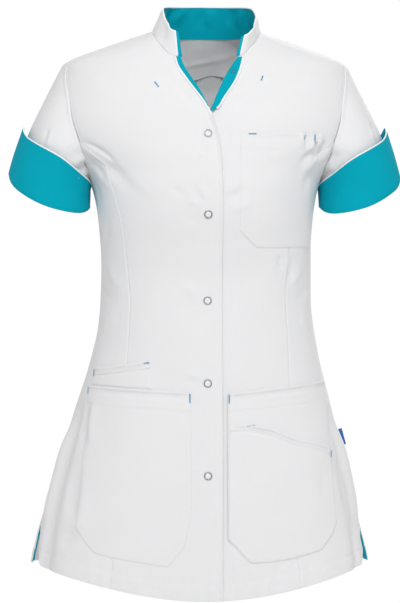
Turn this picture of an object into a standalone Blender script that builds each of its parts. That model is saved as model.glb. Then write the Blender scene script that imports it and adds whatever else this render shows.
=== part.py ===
"""Medical tunic with short sleeves, in the hollow shape it has when it is worn.

Every cut piece is one closed cloth wall. The origin is at the base of the neck, where the
shoulders carry the garment: +Z up, the front towards -Y. Left and right are the wearer's,
so the right side lies at -X. Tables are in millimetres, and "drop" is the distance down
from the neck point.
"""
import math
from collections import namedtuple

import bmesh
import bpy
from mathutils import Vector

MM = 0.001
WALL = 1.5
SEAM = 0.3
LAYER = 0.7
SIDE_SEAM_TURN = SEAM / 2 / 90
PRINCESS_SEAM_TURN = SEAM / 2 / 120
RIGHT, LEFT = -1, 1

SHOULDER_TIP_DROP = 41.0
PRINCESS_TOP_DROP = 148.0
ARMPIT_DROP = 197.0
SLIT_DROP = 600.0
HEM_SIDE_DROP = 693.0
HEM_FRONT_DIP = 37.0
HEM_BACK_DIP = 27.0
SLIT_OPENING_TURN = 15.0
SLIT_CORNER_RADIUS = 13.0
RING_FULLNESS = 0.035
SNAP_DROPS = (140.0, 242.5, 351.0, 455.5, 572.0)
LABEL_DROPS = (520.0, 541.0)
LABEL_REACH = 6.0
LABEL_THICKNESS = 1.2

# Body rings: half width, sideways shift of both sides, depth of the front and of the back
Ring = namedtuple("Ring", "drop half sway front back")
RINGS = (
    Ring(-6, 52, 3.5, 48, 72),
    Ring(0, 70, 3.5, 56, 75),
    Ring(20, 129, 3.0, 70, 87),
    Ring(41, 181, 2.5, 82, 98),
    Ring(64, 192, 2.0, 92, 106),
    Ring(90, 200, 2.0, 101, 111),
    Ring(124, 199, 2.0, 111, 115),
    Ring(150, 186, 2.0, 117, 115),
    Ring(170, 168.5, 2.0, 120, 114),
    Ring(185, 155.5, 2.0, 122, 112),
    Ring(197, 150, 2.0, 123.5, 111),
    Ring(215, 145, 2.2, 124, 108),
    Ring(245, 140.5, 2.6, 121, 101),
    Ring(285, 137.5, 3.4, 111, 93),
    Ring(324, 137, 3.6, 104, 90),
    Ring(365, 139, 3.4, 104, 93),
    Ring(402, 144, 3.6, 106, 98),
    Ring(440, 153, 2.2, 108, 104),
    Ring(481, 165, 1.0, 110, 110),
    Ring(520, 176, 0.0, 112, 113),
    Ring(560, 188, -1.2, 114, 115.5),
    Ring(600, 198, -2.4, 115.5, 117),
    Ring(640, 207, -3.8, 117, 118.5),
    Ring(700, 218, -4.2, 119, 120),
    Ring(740, 224, -4.2, 120, 121),
)

# Seam where the collar stands on the body, by angle from the centre front
NeckSeam = namedtuple("NeckSeam", "turn drop")
NECK_SEAM = (
    NeckSeam(8, 41),
    NeckSeam(14, 38),
    NeckSeam(23, 25),
    NeckSeam(37, 12),
    NeckSeam(56, 4),
    NeckSeam(90, 0),
    NeckSeam(180, -2),
)

# Armhole edge of the body, front and back alike
Armhole = namedtuple("Armhole", "drop reach")
ARMHOLE = (
    Armhole(41, 180.5),
    Armhole(64, 181),
    Armhole(90, 177),
    Armhole(124, 171),
    Armhole(148, 163.5),
    Armhole(165, 159),
    Armhole(180, 154.5),
    Armhole(197, 150),
)

# Princess seam of the front, from the armhole down to the hem
Princess = namedtuple("Princess", "drop reach")
PRINCESS = (
    Princess(148, 163.5),
    Princess(163, 145),
    Princess(177, 131),
    Princess(202, 122),
    Princess(229, 114.5),
    Princess(252, 109),
    Princess(310, 102.5),
    Princess(343, 99.5),
    Princess(378, 100.5),
    Princess(439, 103),
    Princess(560, 108),
    Princess(682, 117),
    Princess(740, 121),
)

# Front edges: the fold of the neckline and the rim of the facing that is rolled out over it
FrontEdge = namedtuple("FrontEdge", "drop fold rim")
RIGHT_EDGE = (
    FrontEdge(39, -33.4, -40.3),
    FrontEdge(54, -27.8, -36.0),
    FrontEdge(67, -19.6, -27.8),
    FrontEdge(80, -11.2, -18.3),
    FrontEdge(93, -4.2, -8.7),
    FrontEdge(108, 2.4, 0.6),
    FrontEdge(123, 7.8, 7.8),
    FrontEdge(136, 12.0, 12.0),
    FrontEdge(152, 15.0, 15.0),
    FrontEdge(173, 17.4, 17.4),
    FrontEdge(224, 18.7, 18.7),
    FrontEdge(740, 18.0, 18.0),
)
LEFT_EDGE = (
    FrontEdge(39, 40.2, 46.8),
    FrontEdge(55, 28.9, 42.8),
    FrontEdge(68, 21.4, 37.5),
    FrontEdge(80, 15.6, 30.4),
    FrontEdge(93, 10.0, 21.6),
    FrontEdge(106, 4.6, 13.3),
    FrontEdge(116, -4.0, 0.0),
    FrontEdge(130, -13.0, -13.0),
    FrontEdge(150, -18.0, -18.0),
    FrontEdge(740, -19.0, -19.0),
)
FACING_END_DROP = 104.0
LAP_START, LAP_END = 22.0, 36.0
LAP_DEPTH = WALL + LAYER

# Top edge of the collar, as steps from the neck seam: across +X, along +Y, and up
Stand = namedtuple("Stand", "turn across along rise")
COLLAR = (
    Stand(-346, 6, 3, 26),
    Stand(-335, 2, 0, 20),
    Stand(-323, -3, -3, 17),
    Stand(-300, -5, -1, 20),
    Stand(-270, -8, 0, 31),
    Stand(-225, -5, -6, 38),
    Stand(-180, 0, -5, 40),
    Stand(-135, 7, -6, 38),
    Stand(-90, 13, 0, 32),
    Stand(-60, 14, 5, 27),
    Stand(-37, 12, 10, 26),
    Stand(-25, 8, 8, 29),
    Stand(-11.7, -3.5, 3, 33),
)

# Sleeve rings: outermost point, half width, half depth
SleeveRing = namedtuple("SleeveRing", "drop reach half depth")
SLEEVE = (
    SleeveRing(41, 181, 51, 40),
    SleeveRing(44, 186.5, 51, 41),
    SleeveRing(51, 191, 50, 44),
    SleeveRing(59, 195, 50, 47),
    SleeveRing(75, 203, 50, 51),
    SleeveRing(98, 214.5, 50, 57),
    SleeveRing(122, 226, 50, 62),
    SleeveRing(150, 237, 50, 64),
    SleeveRing(183, 247, 49, 63),
    SleeveRing(205, 252, 49.5, 60),
    SleeveRing(240, 253, 49.5, 57),
)

# Turned-back cuff: its upper and lower edge, by angle round the sleeve from its inner side
CuffEdge = namedtuple("CuffEdge", "turn top bottom")
CUFF = (
    CuffEdge(0, 203, 230),
    CuffEdge(45, 188, 238),
    CuffEdge(90, 165, 231),
    CuffEdge(135, 146, 210),
    CuffEdge(180, 128, 187),
    CuffEdge(225, 146, 180),
    CuffEdge(270, 166, 198),
    CuffEdge(315, 191, 220),
    CuffEdge(360, 203, 230),
)
CUFF_STAND_TOP = 7.5
CUFF_STAND_BOTTOM = 6.5
CUFF_STAND_INNER = 1.8
SLEEVE_HEM_LIFT = 2.0
SLEEVE_GAP = 1.0
SLEEVE_TIP_GAP = 1.6

# Pockets: each column runs from its top edge to its lower edge
Column = namedtuple("Column", "top_x top_drop end_x end_drop")
CHEST_POCKET = (
    Column(40.6, 139.5, 40.6, 263.0),
    Column(52, 139.5, 51, 274),
    Column(63, 139.4, 62, 284),
    Column(88, 138.8, 88, 284),
    Column(113, 138.3, 112, 283),
    Column(127, 138.0, 126, 282),
    Column(137, 137.8, 134.5, 281.6),
)
HIP_POCKET_RIGHT = (
    Column(-150, 460.7, -166, 640),
    Column(-142, 461.1, -156, 657),
    Column(-128, 461.8, -143.3, 671.5),
    Column(-105, 463.0, -118, 677),
    Column(-70, 464.8, -84, 682),
    Column(-42, 466.2, -50.4, 687),
    Column(-29, 466.9, -30, 662),
    Column(-21.5, 467.3, -21, 618),
)
HIP_POCKET_LEFT = (
    Column(25.4, 468.6, 25.2, 652),
    Column(38, 467.4, 38, 667),
    Column(52, 466.0, 53, 683),
    Column(81, 463.0, 81, 682),
    Column(111, 460.0, 111, 678),
    Column(138, 457.2, 146, 669.5),
    Column(149, 456.0, 162, 649),
    Column(155.2, 455.4, 167, 635),
)
SLANT_POCKET = (
    Column(26.4, 508, 26.2, 651),
    Column(38, 508, 38.5, 665.5),
    Column(53, 508, 53.5, 681.8),
    Column(81, 514, 81, 680.8),
    Column(111, 527, 110.8, 676.8),
    Column(140, 534, 145.4, 668.4),
    Column(153, 539, 161.2, 648.2),
    Column(159.5, 542.5, 165.9, 634.2),
)
POCKET_OUT = WALL + LAYER
CHEST_POCKET_OUT = POCKET_OUT + 0.8
PHONE_POCKET = (
    Column(-141.8, 438.6, -146, 460.1),
    Column(-118, 435.1, -121, 461.4),
    Column(-94, 431.5, -96, 462.6),
    Column(-71.6, 428.1, -70.4, 463.9),
)

# Largest folds: a ridge (+) or trough (-) along a line from its first to its last place
Fold = namedtuple("Fold", "turn end_turn drop end_drop height width")
FOLDS = (
    Fold(-74, -66, 470, 735, -6, 9),
    Fold(-83, -80, 500, 640, 4, 8),
    Fold(72, 66, 480, 735, -5, 9),
    Fold(83, 80, 500, 640, 4, 8),
    Fold(112, 116, 470, 735, -7, 12),
    Fold(135, 140, 430, 735, 5, 13),
    Fold(-112, -116, 470, 735, -7, 12),
    Fold(-135, -140, 430, 735, 5, 13),
    Fold(160, 163, 400, 735, -4, 12),
    Fold(-160, -163, 400, 735, -4, 12),
    Fold(-58, -40, 150, 215, -4, 9),
    Fold(125, 140, 150, 225, -5, 10),
    Fold(-125, -140, 150, 225, -5, 10),
    Fold(150, 155, 270, 350, 3, 12),
    Fold(-150, -155, 270, 350, 3, 12),
)
FOLD_FADE = 45.0


def along(table, column, place):
    """Smooth value of a table's column at a place given in its first column."""
    first = [row[0] for row in table]
    values = [getattr(row, column) for row in table]
    last = len(table) - 1
    span = 0
    while span < last - 1 and first[span + 1] <= place:
        span += 1

    def slope(at):
        before, after = max(at - 1, 0), min(at + 1, last)
        return (values[after] - values[before]) / (first[after] - first[before])

    length = first[span + 1] - first[span]
    s = (place - first[span]) / length
    start_pull, end_pull = slope(span) * length, slope(span + 1) * length
    return ((2 * s ** 3 - 3 * s ** 2 + 1) * values[span]
            + (s ** 3 - 2 * s ** 2 + s) * start_pull
            + (3 * s ** 2 - 2 * s ** 3) * values[span + 1]
            + (s ** 3 - s ** 2) * end_pull)


def mix(start, end, share):
    return start + (end - start) * share


def ease(share):
    share = min(max(share, 0.0), 1.0)
    return share * share * (3 - 2 * share)


def ring_point(turn, drop):
    """A point on the plain body, before folds, at an angle from the centre front."""
    half = along(RINGS, "half", drop)
    front, back = along(RINGS, "front", drop), along(RINGS, "back", drop)
    depth = front if math.cos(turn) > 0 else back
    fuller = 1 + RING_FULLNESS * math.sin(2 * turn) ** 2
    sway = along(RINGS, "sway", drop) * math.sin(turn) ** 2
    return Vector((half * fuller * math.sin(turn) + sway, -depth * fuller * math.cos(turn), -drop))


def turn_at(x, drop):
    """The angle of the front point at a given distance from the centre."""
    low, high = -math.pi / 2, math.pi / 2
    for _ in range(36):
        middle = (low + high) / 2
        if ring_point(middle, drop).x < x:
            low = middle
        else:
            high = middle
    return (low + high) / 2


def fold_height(turn, drop):
    """How far the largest folds move the cloth out at a place."""
    degrees = math.degrees(turn)
    degrees -= 360 * round(degrees / 360)
    total = 0.0
    for fold in FOLDS:
        if not fold.drop < drop < fold.end_drop + 60:
            continue
        share = (drop - fold.drop) / (fold.end_drop - fold.drop)
        off = (degrees - mix(fold.turn, fold.end_turn, share)) / fold.width
        if abs(off) < 1:
            fade = ease((drop - fold.drop) / FOLD_FADE)
            if fold.end_drop < HEM_SIDE_DROP:
                fade *= ease((fold.end_drop + 10 - drop) / FOLD_FADE)
            total += fold.height * fade * (1 + math.cos(math.pi * off)) / 2
    return total


def slit_flare(turn, drop):
    """The back stands out a little beyond the front at the side slits."""
    off = (math.degrees(abs(math.remainder(turn, 2 * math.pi))) - 96) / 14
    if abs(off) >= 1 or drop < SLIT_DROP:
        return 0.0
    return 5 * ease((drop - SLIT_DROP) / 90) * (1 - off * off)


def body(turn, drop, out=0.0):
    """A point of the worn body's outer surface, moved out along its normal."""
    step_turn, step_drop = 0.004, 1.5
    here = ring_point(turn, drop)
    across = ring_point(turn + step_turn, drop) - ring_point(turn - step_turn, drop)
    down = ring_point(turn, drop + step_drop) - ring_point(turn, drop - step_drop)
    normal = down.cross(across).normalized()
    if normal.dot(Vector((here.x, here.y, 0))) < 0:
        normal.negate()
    return here + normal * (out + fold_height(turn, drop) + slit_flare(turn, drop))


def neck_drop(turn):
    degrees = abs(math.degrees(math.remainder(turn, 2 * math.pi)))
    return along(NECK_SEAM, "drop", degrees)


def hem_drop(turn):
    """The hem dips at the centre front and a little less at the centre back."""
    lean = math.cos(turn)
    dip = HEM_FRONT_DIP if lean > 0 else HEM_BACK_DIP
    return HEM_SIDE_DROP + dip * abs(lean) ** 3


def side_edge_turn(side, drop, back=False):
    """Outer edge of the front or back: shoulder seam, armhole, then side seam or slit."""
    if drop <= SHOULDER_TIP_DROP or drop >= ARMPIT_DROP:
        turn = math.pi / 2 - SIDE_SEAM_TURN
        if drop > SLIT_DROP and not back:
            turn -= math.radians(SLIT_OPENING_TURN) * ease((drop - SLIT_DROP) / 110)
    else:
        reach = along(ARMHOLE, "reach", drop)
        sway = along(RINGS, "sway", drop)
        turn = min(turn_at(reach + sway * 0.9, drop), math.pi / 2 - SIDE_SEAM_TURN)
    if back:
        turn = math.pi - turn
    return side * turn


def princess_turn(side, drop):
    reach = along(PRINCESS, "reach", drop)
    return turn_at(side * reach + along(RINGS, "sway", drop) * 0.6, drop)


def new_material(name, colour, roughness=0.8, metallic=0.0):
    material = bpy.data.materials.new(name)
    material.use_nodes = True
    shader = material.node_tree.nodes["Principled BSDF"]
    shader.inputs["Base Color"].default_value = (*colour, 1)
    shader.inputs["Roughness"].default_value = roughness
    shader.inputs["Metallic"].default_value = metallic
    material.diffuse_color = (*colour, 1)
    return material


WHITE = (0.83, 0.84, 0.85)
TEAL = (0.0, 0.38, 0.5)
LABEL_BLUE = (0.03, 0.16, 0.42)
STEEL = (0.6, 0.61, 0.62)


def add_object(name, mesh, colour, roughness=0.8, metallic=0.0):
    piece = bpy.data.objects.new(name, mesh)
    mesh.materials.append(new_material(name, colour, roughness, metallic))
    bpy.data.collections["medical_tunic"].objects.link(piece)
    mesh.shade_smooth()
    mesh.set_sharp_from_angle(angle=math.radians(50))
    return piece


def cloth(name, outer, inner, colour, closed=False):
    """A closed cloth wall between two grids of points whose rows run the same way round."""
    shape = bmesh.new()
    skins = [[[shape.verts.new(point * MM) for point in row] for row in grid]
             for grid in (outer, inner)]
    levels, count = len(outer), len(outer[0])
    spans = count if closed else count - 1
    for upper in range(levels - 1):
        for k in range(spans):
            corners = ((upper, k), (upper + 1, k), (upper + 1, (k + 1) % count),
                       (upper, (k + 1) % count))
            shape.faces.new([skins[0][row][column] for row, column in corners])
            shape.faces.new([skins[1][row][column] for row, column in reversed(corners)])
    for k in range(spans):
        after = (k + 1) % count
        for level, order in ((0, (0, 1)), (levels - 1, (1, 0))):
            near, far = skins[order[0]][level], skins[order[1]][level]
            shape.faces.new((near[k], near[after], far[after], far[k]))
    if not closed:
        for level in range(levels - 1):
            for column, order in ((0, (1, 0)), (count - 1, (0, 1))):
                near, far = skins[order[0]], skins[order[1]]
                shape.faces.new((near[level][column], near[level + 1][column],
                                 far[level + 1][column], far[level][column])[::-1])
    bmesh.ops.recalc_face_normals(shape, faces=shape.faces[:])
    mesh = bpy.data.meshes.new(name)
    shape.to_mesh(mesh)
    shape.free()
    return add_object(name, mesh, colour)


def body_cloth(name, places, colour, wall=WALL):
    """A wall on the body from rows of places, each an angle, a drop and a distance out."""
    outer = [[body(*place) for place in row] for row in places]
    inner = [[body(turn, drop, out - wall) for turn, drop, out in row] for row in places]
    cloth(name, outer, inner, colour)


def normal_of(surface, first, second, step_first, step_second):
    """Outward direction of a surface of two numbers, from its nearby points."""
    along_first = surface(first + step_first, second) - surface(first - step_first, second)
    along_second = surface(first, second + step_second) - surface(first, second - step_second)
    return along_first.cross(along_second).normalized()


def lap(side, x, drop):
    """The left front steps back under the right one behind the snaps."""
    if side == RIGHT:
        return 0.0
    under = 1 - ease((x - LAP_START) / (LAP_END - LAP_START))
    return -LAP_DEPTH * under * ease((drop - 92) / 22)


def front_edge_turn(side, drop):
    table = RIGHT_EDGE if side == RIGHT else LEFT_EDGE
    return turn_at(along(table, "fold", drop), drop)


BODY_LEVELS = 24
BACK_COLUMNS = 24
NECK_GAP = 0.6


def row_plan(keys, parts):
    """Pairs of drops at a row's inner and outer end, cut evenly between key pairs."""
    plan = [keys[0]]
    for start, end, count in zip(keys, keys[1:], parts):
        for k in range(1, count + 1):
            plan.append((mix(start[0], end[0], k / count), mix(start[1], end[1], k / count)))
    return plan


def round_corner(turn, drop, side):
    """The front's lower corner at the slit is rounded."""
    edge = side_edge_turn(side, HEM_SIDE_DROP)
    away = abs(edge - turn) * 150
    if away >= SLIT_CORNER_RADIUS:
        return 0.0
    inside = SLIT_CORNER_RADIUS - away
    return SLIT_CORNER_RADIUS - math.sqrt(SLIT_CORNER_RADIUS ** 2 - inside ** 2)


def make_front(side, name):
    """Centre front panel, from the neck seam and shoulder down to the hem."""
    columns = 9
    first = front_edge_turn(side, 39)
    keys = ((39, 0), (70, SHOULDER_TIP_DROP), (73, 45), (80, 55), (107, 95),
            (PRINCESS_TOP_DROP, PRINCESS_TOP_DROP), (HEM_SIDE_DROP, HEM_SIDE_DROP))
    plan = row_plan(keys, (3, 1, 1, 3, 3, BODY_LEVELS))
    rows = []
    for number, (inner_drop, outer_drop) in enumerate(plan):
        inner = front_edge_turn(side, inner_drop)
        if outer_drop < PRINCESS_TOP_DROP:
            outer = side_edge_turn(side, outer_drop)
        else:
            outer = princess_turn(side, outer_drop) - side * PRINCESS_SEAM_TURN
        row = []
        for k in range(columns + 1):
            share = k / columns
            turn = mix(inner, outer, share)
            drop = mix(inner_drop, outer_drop, share)
            if number == 0:
                turn = mix(first, side * (math.pi / 2 - 0.0015), share ** 1.5)
                drop = neck_drop(turn) + NECK_GAP
            if inner_drop > PRINCESS_TOP_DROP:
                depth = (inner_drop - PRINCESS_TOP_DROP) / (HEM_SIDE_DROP - PRINCESS_TOP_DROP)
                drop += (hem_drop(turn) - HEM_SIDE_DROP) * depth
            row.append((turn, drop, lap(side, ring_point(turn, drop).x, drop)))
        rows.append(row)
    body_cloth(name, rows, WHITE)


def make_front_side(side, name):
    """Side front panel, from the armhole down to the hem and the slit."""
    columns = 6
    keys = ((PRINCESS_TOP_DROP, ARMPIT_DROP), (HEM_SIDE_DROP, HEM_SIDE_DROP))
    plan = row_plan(keys, (BODY_LEVELS,))
    start = princess_turn(side, PRINCESS_TOP_DROP) + side * PRINCESS_SEAM_TURN
    bends = []
    for k in range(columns + 1):
        share = k / columns
        drop = min(mix(PRINCESS_TOP_DROP, ARMPIT_DROP, share), ARMPIT_DROP - 0.1)
        straight = mix(start, side_edge_turn(side, ARMPIT_DROP), share)
        bends.append(side_edge_turn(side, drop) - straight)
    bends[0] = 0.0
    rows = []
    for number, (inner_drop, outer_drop) in enumerate(plan):
        row = []
        for k in range(columns + 1):
            share = k / columns
            drop = mix(inner_drop, outer_drop, share)
            if number == 0 and k == 0:
                drop += 2.5
            inner = princess_turn(side, inner_drop) + side * PRINCESS_SEAM_TURN
            outer = side_edge_turn(side, outer_drop)
            turn = mix(inner, outer, share) + bends[k] * max(1 - number / 4, 0)
            if inner_drop > PRINCESS_TOP_DROP:
                depth = (inner_drop - PRINCESS_TOP_DROP) / (HEM_SIDE_DROP - PRINCESS_TOP_DROP)
                drop += (hem_drop(turn) - HEM_SIDE_DROP) * depth
                drop -= round_corner(turn, drop, side) * ease((depth - 0.9) / 0.1)
            row.append((turn, drop, 0.0))
        rows.append(row)
    body_cloth(name, rows, WHITE)


def back_rows():
    """Drops of the back's rows: the neck and shoulders, the armholes, then down to the hem."""
    keys = [(drop, drop) for drop in (0, SHOULDER_TIP_DROP, 45, 55, ARMPIT_DROP, HEM_SIDE_DROP)]
    return [level for level, _ in row_plan(keys, (3, 1, 1, 6, BODY_LEVELS))]


def back_place(number, column, level):
    """A place of the back's grid, whose columns lie closer near the side seams."""
    start = side_edge_turn(LEFT, level, back=True)
    share = column / BACK_COLUMNS
    share -= 0.06 * math.sin(2 * math.pi * share)
    turn = mix(start, 2 * math.pi - start, share)
    drop = level
    if number == 0:
        drop = neck_drop(turn) + NECK_GAP
    depth = max(level - ARMPIT_DROP, 0) / (HEM_SIDE_DROP - ARMPIT_DROP)
    return turn, drop + (hem_drop(turn) - HEM_SIDE_DROP) * depth


def make_back():
    """Back panel, from the neck seam and both shoulders down to the hem."""
    rows = []
    for number, level in enumerate(back_rows()):
        rows.append([(*back_place(number, k, level), 0.0) for k in range(BACK_COLUMNS + 1)])
    body_cloth("back", rows, WHITE)


def sleeve_turn(share, drop):
    """Angle round the sleeve's ring, which is open towards the armhole above the armpit."""
    start = 0.0
    if drop < ARMPIT_DROP:
        half = along(SLEEVE, "half", drop)
        centre = along(SLEEVE, "reach", drop) - half
        across = (centre - along(ARMHOLE, "reach", drop)) / half
        start = math.acos(min(max(across, -1.0), 1.0))
    return mix(start, 2 * math.pi - start, share)


def sleeve_oval(side, turn, drop):
    half, depth = along(SLEEVE, "half", drop), along(SLEEVE, "depth", drop)
    reach = along(SLEEVE, "reach", drop) - half * (1 + math.cos(turn))
    return Vector((side * reach + along(RINGS, "sway", drop), -depth * math.sin(turn), -drop))


def sleeve_point(side, share, drop):
    """A point of the sleeve: share runs from its front armhole edge round to the back one."""
    point = sleeve_oval(side, sleeve_turn(share, drop), drop)
    if drop < ARMPIT_DROP:
        for end, nearness in ((0, 1 - share * 2), (1, share * 2 - 1)):
            if nearness > 0:
                edge = body(side_edge_turn(side, drop, end == 1), drop)
                from_oval = sleeve_oval(side, sleeve_turn(end, drop), drop)
                point += (edge - from_oval) * ease(nearness) * nearness
    return point


def sleeve_out(side, share, drop, out):
    """A point of the sleeve moved out along its normal."""
    level = max(drop, SHOULDER_TIP_DROP + 2.5)
    turn = sleeve_turn(share, level)
    half, depth = along(SLEEVE, "half", level), along(SLEEVE, "depth", level)
    wider = (along(SLEEVE, "reach", level + 1) - along(SLEEVE, "reach", level - 1)) / 2
    deeper = (along(SLEEVE, "depth", level + 1) - along(SLEEVE, "depth", level - 1)) / 2
    normal = Vector((-side * math.cos(turn) / half, -math.sin(turn) / depth, 0)).normalized()
    normal.z = -math.cos(turn) * wider + math.sin(turn) ** 2 * deeper
    return sleeve_point(side, share, drop) + normal.normalized() * out


def make_sleeve(side, name):
    """Sleeve from the armhole to its hem, open along the underarm seam by a seam gap."""
    columns, levels = 22, 11
    outer, inner = [], []
    for level in range(levels + 1):
        outer_row, inner_row = [], []
        for k in range(columns + 1):
            share = mix(0.004, 0.996, k / columns)
            end = along(CUFF, "bottom", share * 360) - SLEEVE_HEM_LIFT
            depth = (level / levels) ** 1.6
            drop = mix(SHOULDER_TIP_DROP + 1.2, end, depth)
            gap = SLEEVE_GAP * (1 - depth) + SLEEVE_TIP_GAP * (1 - depth) ** 12
            aside = Vector((side * gap, 0, 0))
            outer_row.append(sleeve_out(side, share, drop, 0.0) + aside)
            inner_row.append(sleeve_out(side, share, drop, -WALL) + aside)
        outer.append(outer_row)
        inner.append(inner_row)
    cloth(name, outer, inner, WHITE)


def cuff_stand(share, height):
    """How far the cuff's inner face stands off the sleeve, most at the outer side."""
    outward = ((1 - math.cos(2 * math.pi * share)) / 2) ** 0.4
    most = mix(CUFF_STAND_TOP, CUFF_STAND_BOTTOM, height)
    return mix(CUFF_STAND_INNER, most, outward)


def make_cuff(side, name):
    """Turned-back cuff, which stands off the sleeve most at its outer side."""
    columns, levels = 22, 4
    outer, inner = [], []
    for level in range(levels + 1):
        height = level / levels
        outer_row, inner_row = [], []
        for k in range(columns):
            share = k / columns
            top = along(CUFF, "top", share * 360)
            drop = mix(top, along(CUFF, "bottom", share * 360), height)
            stand = cuff_stand(share, height)
            outer_row.append(sleeve_out(side, share, drop, stand + WALL))
            inner_row.append(sleeve_out(side, share, drop, stand))
        outer.append(outer_row)
        inner.append(inner_row)
    cloth(name, outer, inner, TEAL, closed=True)


def collar_point(turn_degrees, height):
    """A point of the stand collar between the neck seam and its top edge."""
    turn = math.radians(turn_degrees)
    base = body(turn, neck_drop(turn))
    rise = Vector((along(COLLAR, "across", turn_degrees), along(COLLAR, "along", turn_degrees),
                   along(COLLAR, "rise", turn_degrees)))
    return base + Vector((0, 0, 0.3)) + rise * height


def collar_out(turn_degrees, height, out):
    """A point of the collar moved out from the neck."""
    normal = normal_of(collar_point, turn_degrees, height, 1.5, 0.05)
    point = collar_point(turn_degrees, height)
    if normal.dot(Vector((point.x, point.y, 0))) < 0:
        normal.negate()
    return point + normal * out


def make_collar(name, out, colour, inset):
    """One layer of the stand collar, from its left front end round the back to the right."""
    columns, levels = 34, 3
    first, last = COLLAR[0].turn, COLLAR[-1].turn
    shares = [k / columns for k in range(columns + 1)]
    shares = [share - 0.06 * math.sin(2 * math.pi * share) for share in shares]
    outer, inner = [], []
    for level in range(levels + 1):
        height = mix(1 - inset * 0.02, 0, level / levels)
        turns = [mix(first, last, share) for share in shares]
        turns[0] += inset * 1.2
        turns[-1] -= inset * 1.2
        outer.append([collar_out(turn, height, out) for turn in turns])
        inner.append([collar_out(turn, height, out - WALL) for turn in turns])
    cloth(name, outer, inner, colour)


def make_facing(side, name):
    """Coloured facing of the neckline, rolled out over the front between fold and rim."""
    table = RIGHT_EDGE if side == RIGHT else LEFT_EDGE
    levels, columns = 7, 3
    rows = []
    for level in range(levels + 1):
        drop = mix(43.5, FACING_END_DROP, level / levels)
        row = []
        for k in range(columns + 1):
            x = mix(along(table, "fold", drop) + side * 0.3, along(table, "rim", drop), k / columns)
            stand = LAYER + WALL + 1.2 * math.sin(math.pi * k / columns)
            row.append((turn_at(x, drop), drop, stand))
        rows.append(row)
    body_cloth(name, rows, TEAL)


def make_back_neck_facing():
    """White facing inside the back, below the collar."""
    columns, levels = 14, 3
    rows = []
    for level in range(levels + 1):
        row = []
        for k in range(columns + 1):
            turn = math.radians(mix(112, 248, k / columns))
            top = neck_drop(turn) + 4.5
            end = mix(9, 52, abs(math.cos(turn)) ** 2)
            row.append((turn, mix(top, end, level / levels), -(WALL + LAYER)))
        rows.append(row)
    body_cloth("back_neck_facing", rows, WHITE)


def make_pocket(name, table, levels, out):
    """A patch pocket, made from the points of the front, moved out."""
    rows = []
    for level in range(levels + 1):
        row = []
        for before, after in zip(table, table[1:]):
            for part in (0.0, 0.5):
                row.append(pocket_point(before, after, part, level / levels, out))
        row.append(pocket_point(table[-2], table[-1], 1.0, level / levels, out))
        rows.append(row)
    body_cloth(name, rows, WHITE)


def pocket_point(before, after, part, height, out):
    x = mix(mix(before.top_x, after.top_x, part), mix(before.end_x, after.end_x, part), height)
    drop = mix(mix(before.top_drop, after.top_drop, part),
               mix(before.end_drop, after.end_drop, part), height)
    return turn_at(x, drop), drop, out


def make_slit_facing(side, name):
    """Coloured facing on the inside of the back along a side slit."""
    rows = []
    for number, level in enumerate(back_rows()):
        if level < SLIT_DROP - 25:
            continue
        row = []
        for k in range(4):
            turn, drop = back_place(number, k, level)
            turn = turn + 0.004 if k == 0 else turn
            row.append((side * turn, drop - 0.5, -(WALL + LAYER)))
        rows.append(row)
    body_cloth(name, rows, TEAL)


def add_label():
    """A small blank label folded into the left side seam."""
    bpy.ops.mesh.primitive_cube_add(size=1)
    label = bpy.context.object
    mesh = label.data
    top = ring_point(math.pi / 2, LABEL_DROPS[0])
    end = ring_point(math.pi / 2, LABEL_DROPS[1])
    down = (end - top)
    outward = Vector((down.z, 0, -down.x)).normalized() * -1
    corners = []
    for vertex in mesh.vertices:
        share = vertex.co.z + 0.5
        out = 0.5 + (vertex.co.x + 0.5) * LABEL_REACH
        place = end - down * share + outward * out
        place.y = vertex.co.y * LABEL_THICKNESS
        corners.append(place * MM)
    for vertex, corner in zip(mesh.vertices, corners):
        vertex.co = corner
    bpy.data.objects.remove(label)
    mesh.name = "side_label"
    add_object("side_label", mesh, LABEL_BLUE)


def add_turned(name, profile, place, normal, colour, metallic, steps=14):
    """A small turned piece on the cloth: its profile runs down the outer side."""
    mesh = bpy.data.meshes.new(name)
    points = [Vector((radius * MM, 0, height * MM)) for radius, height in profile]
    closed = profile[0][0] > 0
    edges = [(k, k + 1) for k in range(len(points) - 1)]
    if closed:
        edges.append((len(points) - 1, 0))
    mesh.from_pydata(points, edges, [])
    piece = add_object(name, mesh, colour, 0.35, metallic)
    turned = piece.modifiers.new("turned", "SCREW")
    turned.steps = turned.render_steps = steps
    turned.use_merge_vertices = True
    turned.merge_threshold = 0.00001
    turned.use_normal_calculate = False
    piece.location = place * MM
    piece.rotation_mode = "QUATERNION"
    piece.rotation_quaternion = Vector((0, 0, 1)).rotation_difference(normal)
    return piece


RING_SNAP = ((4.2, 1.0), (4.9, 0.9), (5.25, 0.5), (5.2, 0.0), (3.7, 0.0), (3.7, 0.7))
STUD = ((0, 2.2), (1.2, 2.1), (1.6, 1.4), (2.6, 1.0), (2.8, 0.0), (0, 0.0))


def surface_frame(turn, drop, out):
    """A place on the body and its outward direction."""
    place = body(turn, drop, out)
    return place, (body(turn, drop, out + 5) - place).normalized()


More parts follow.
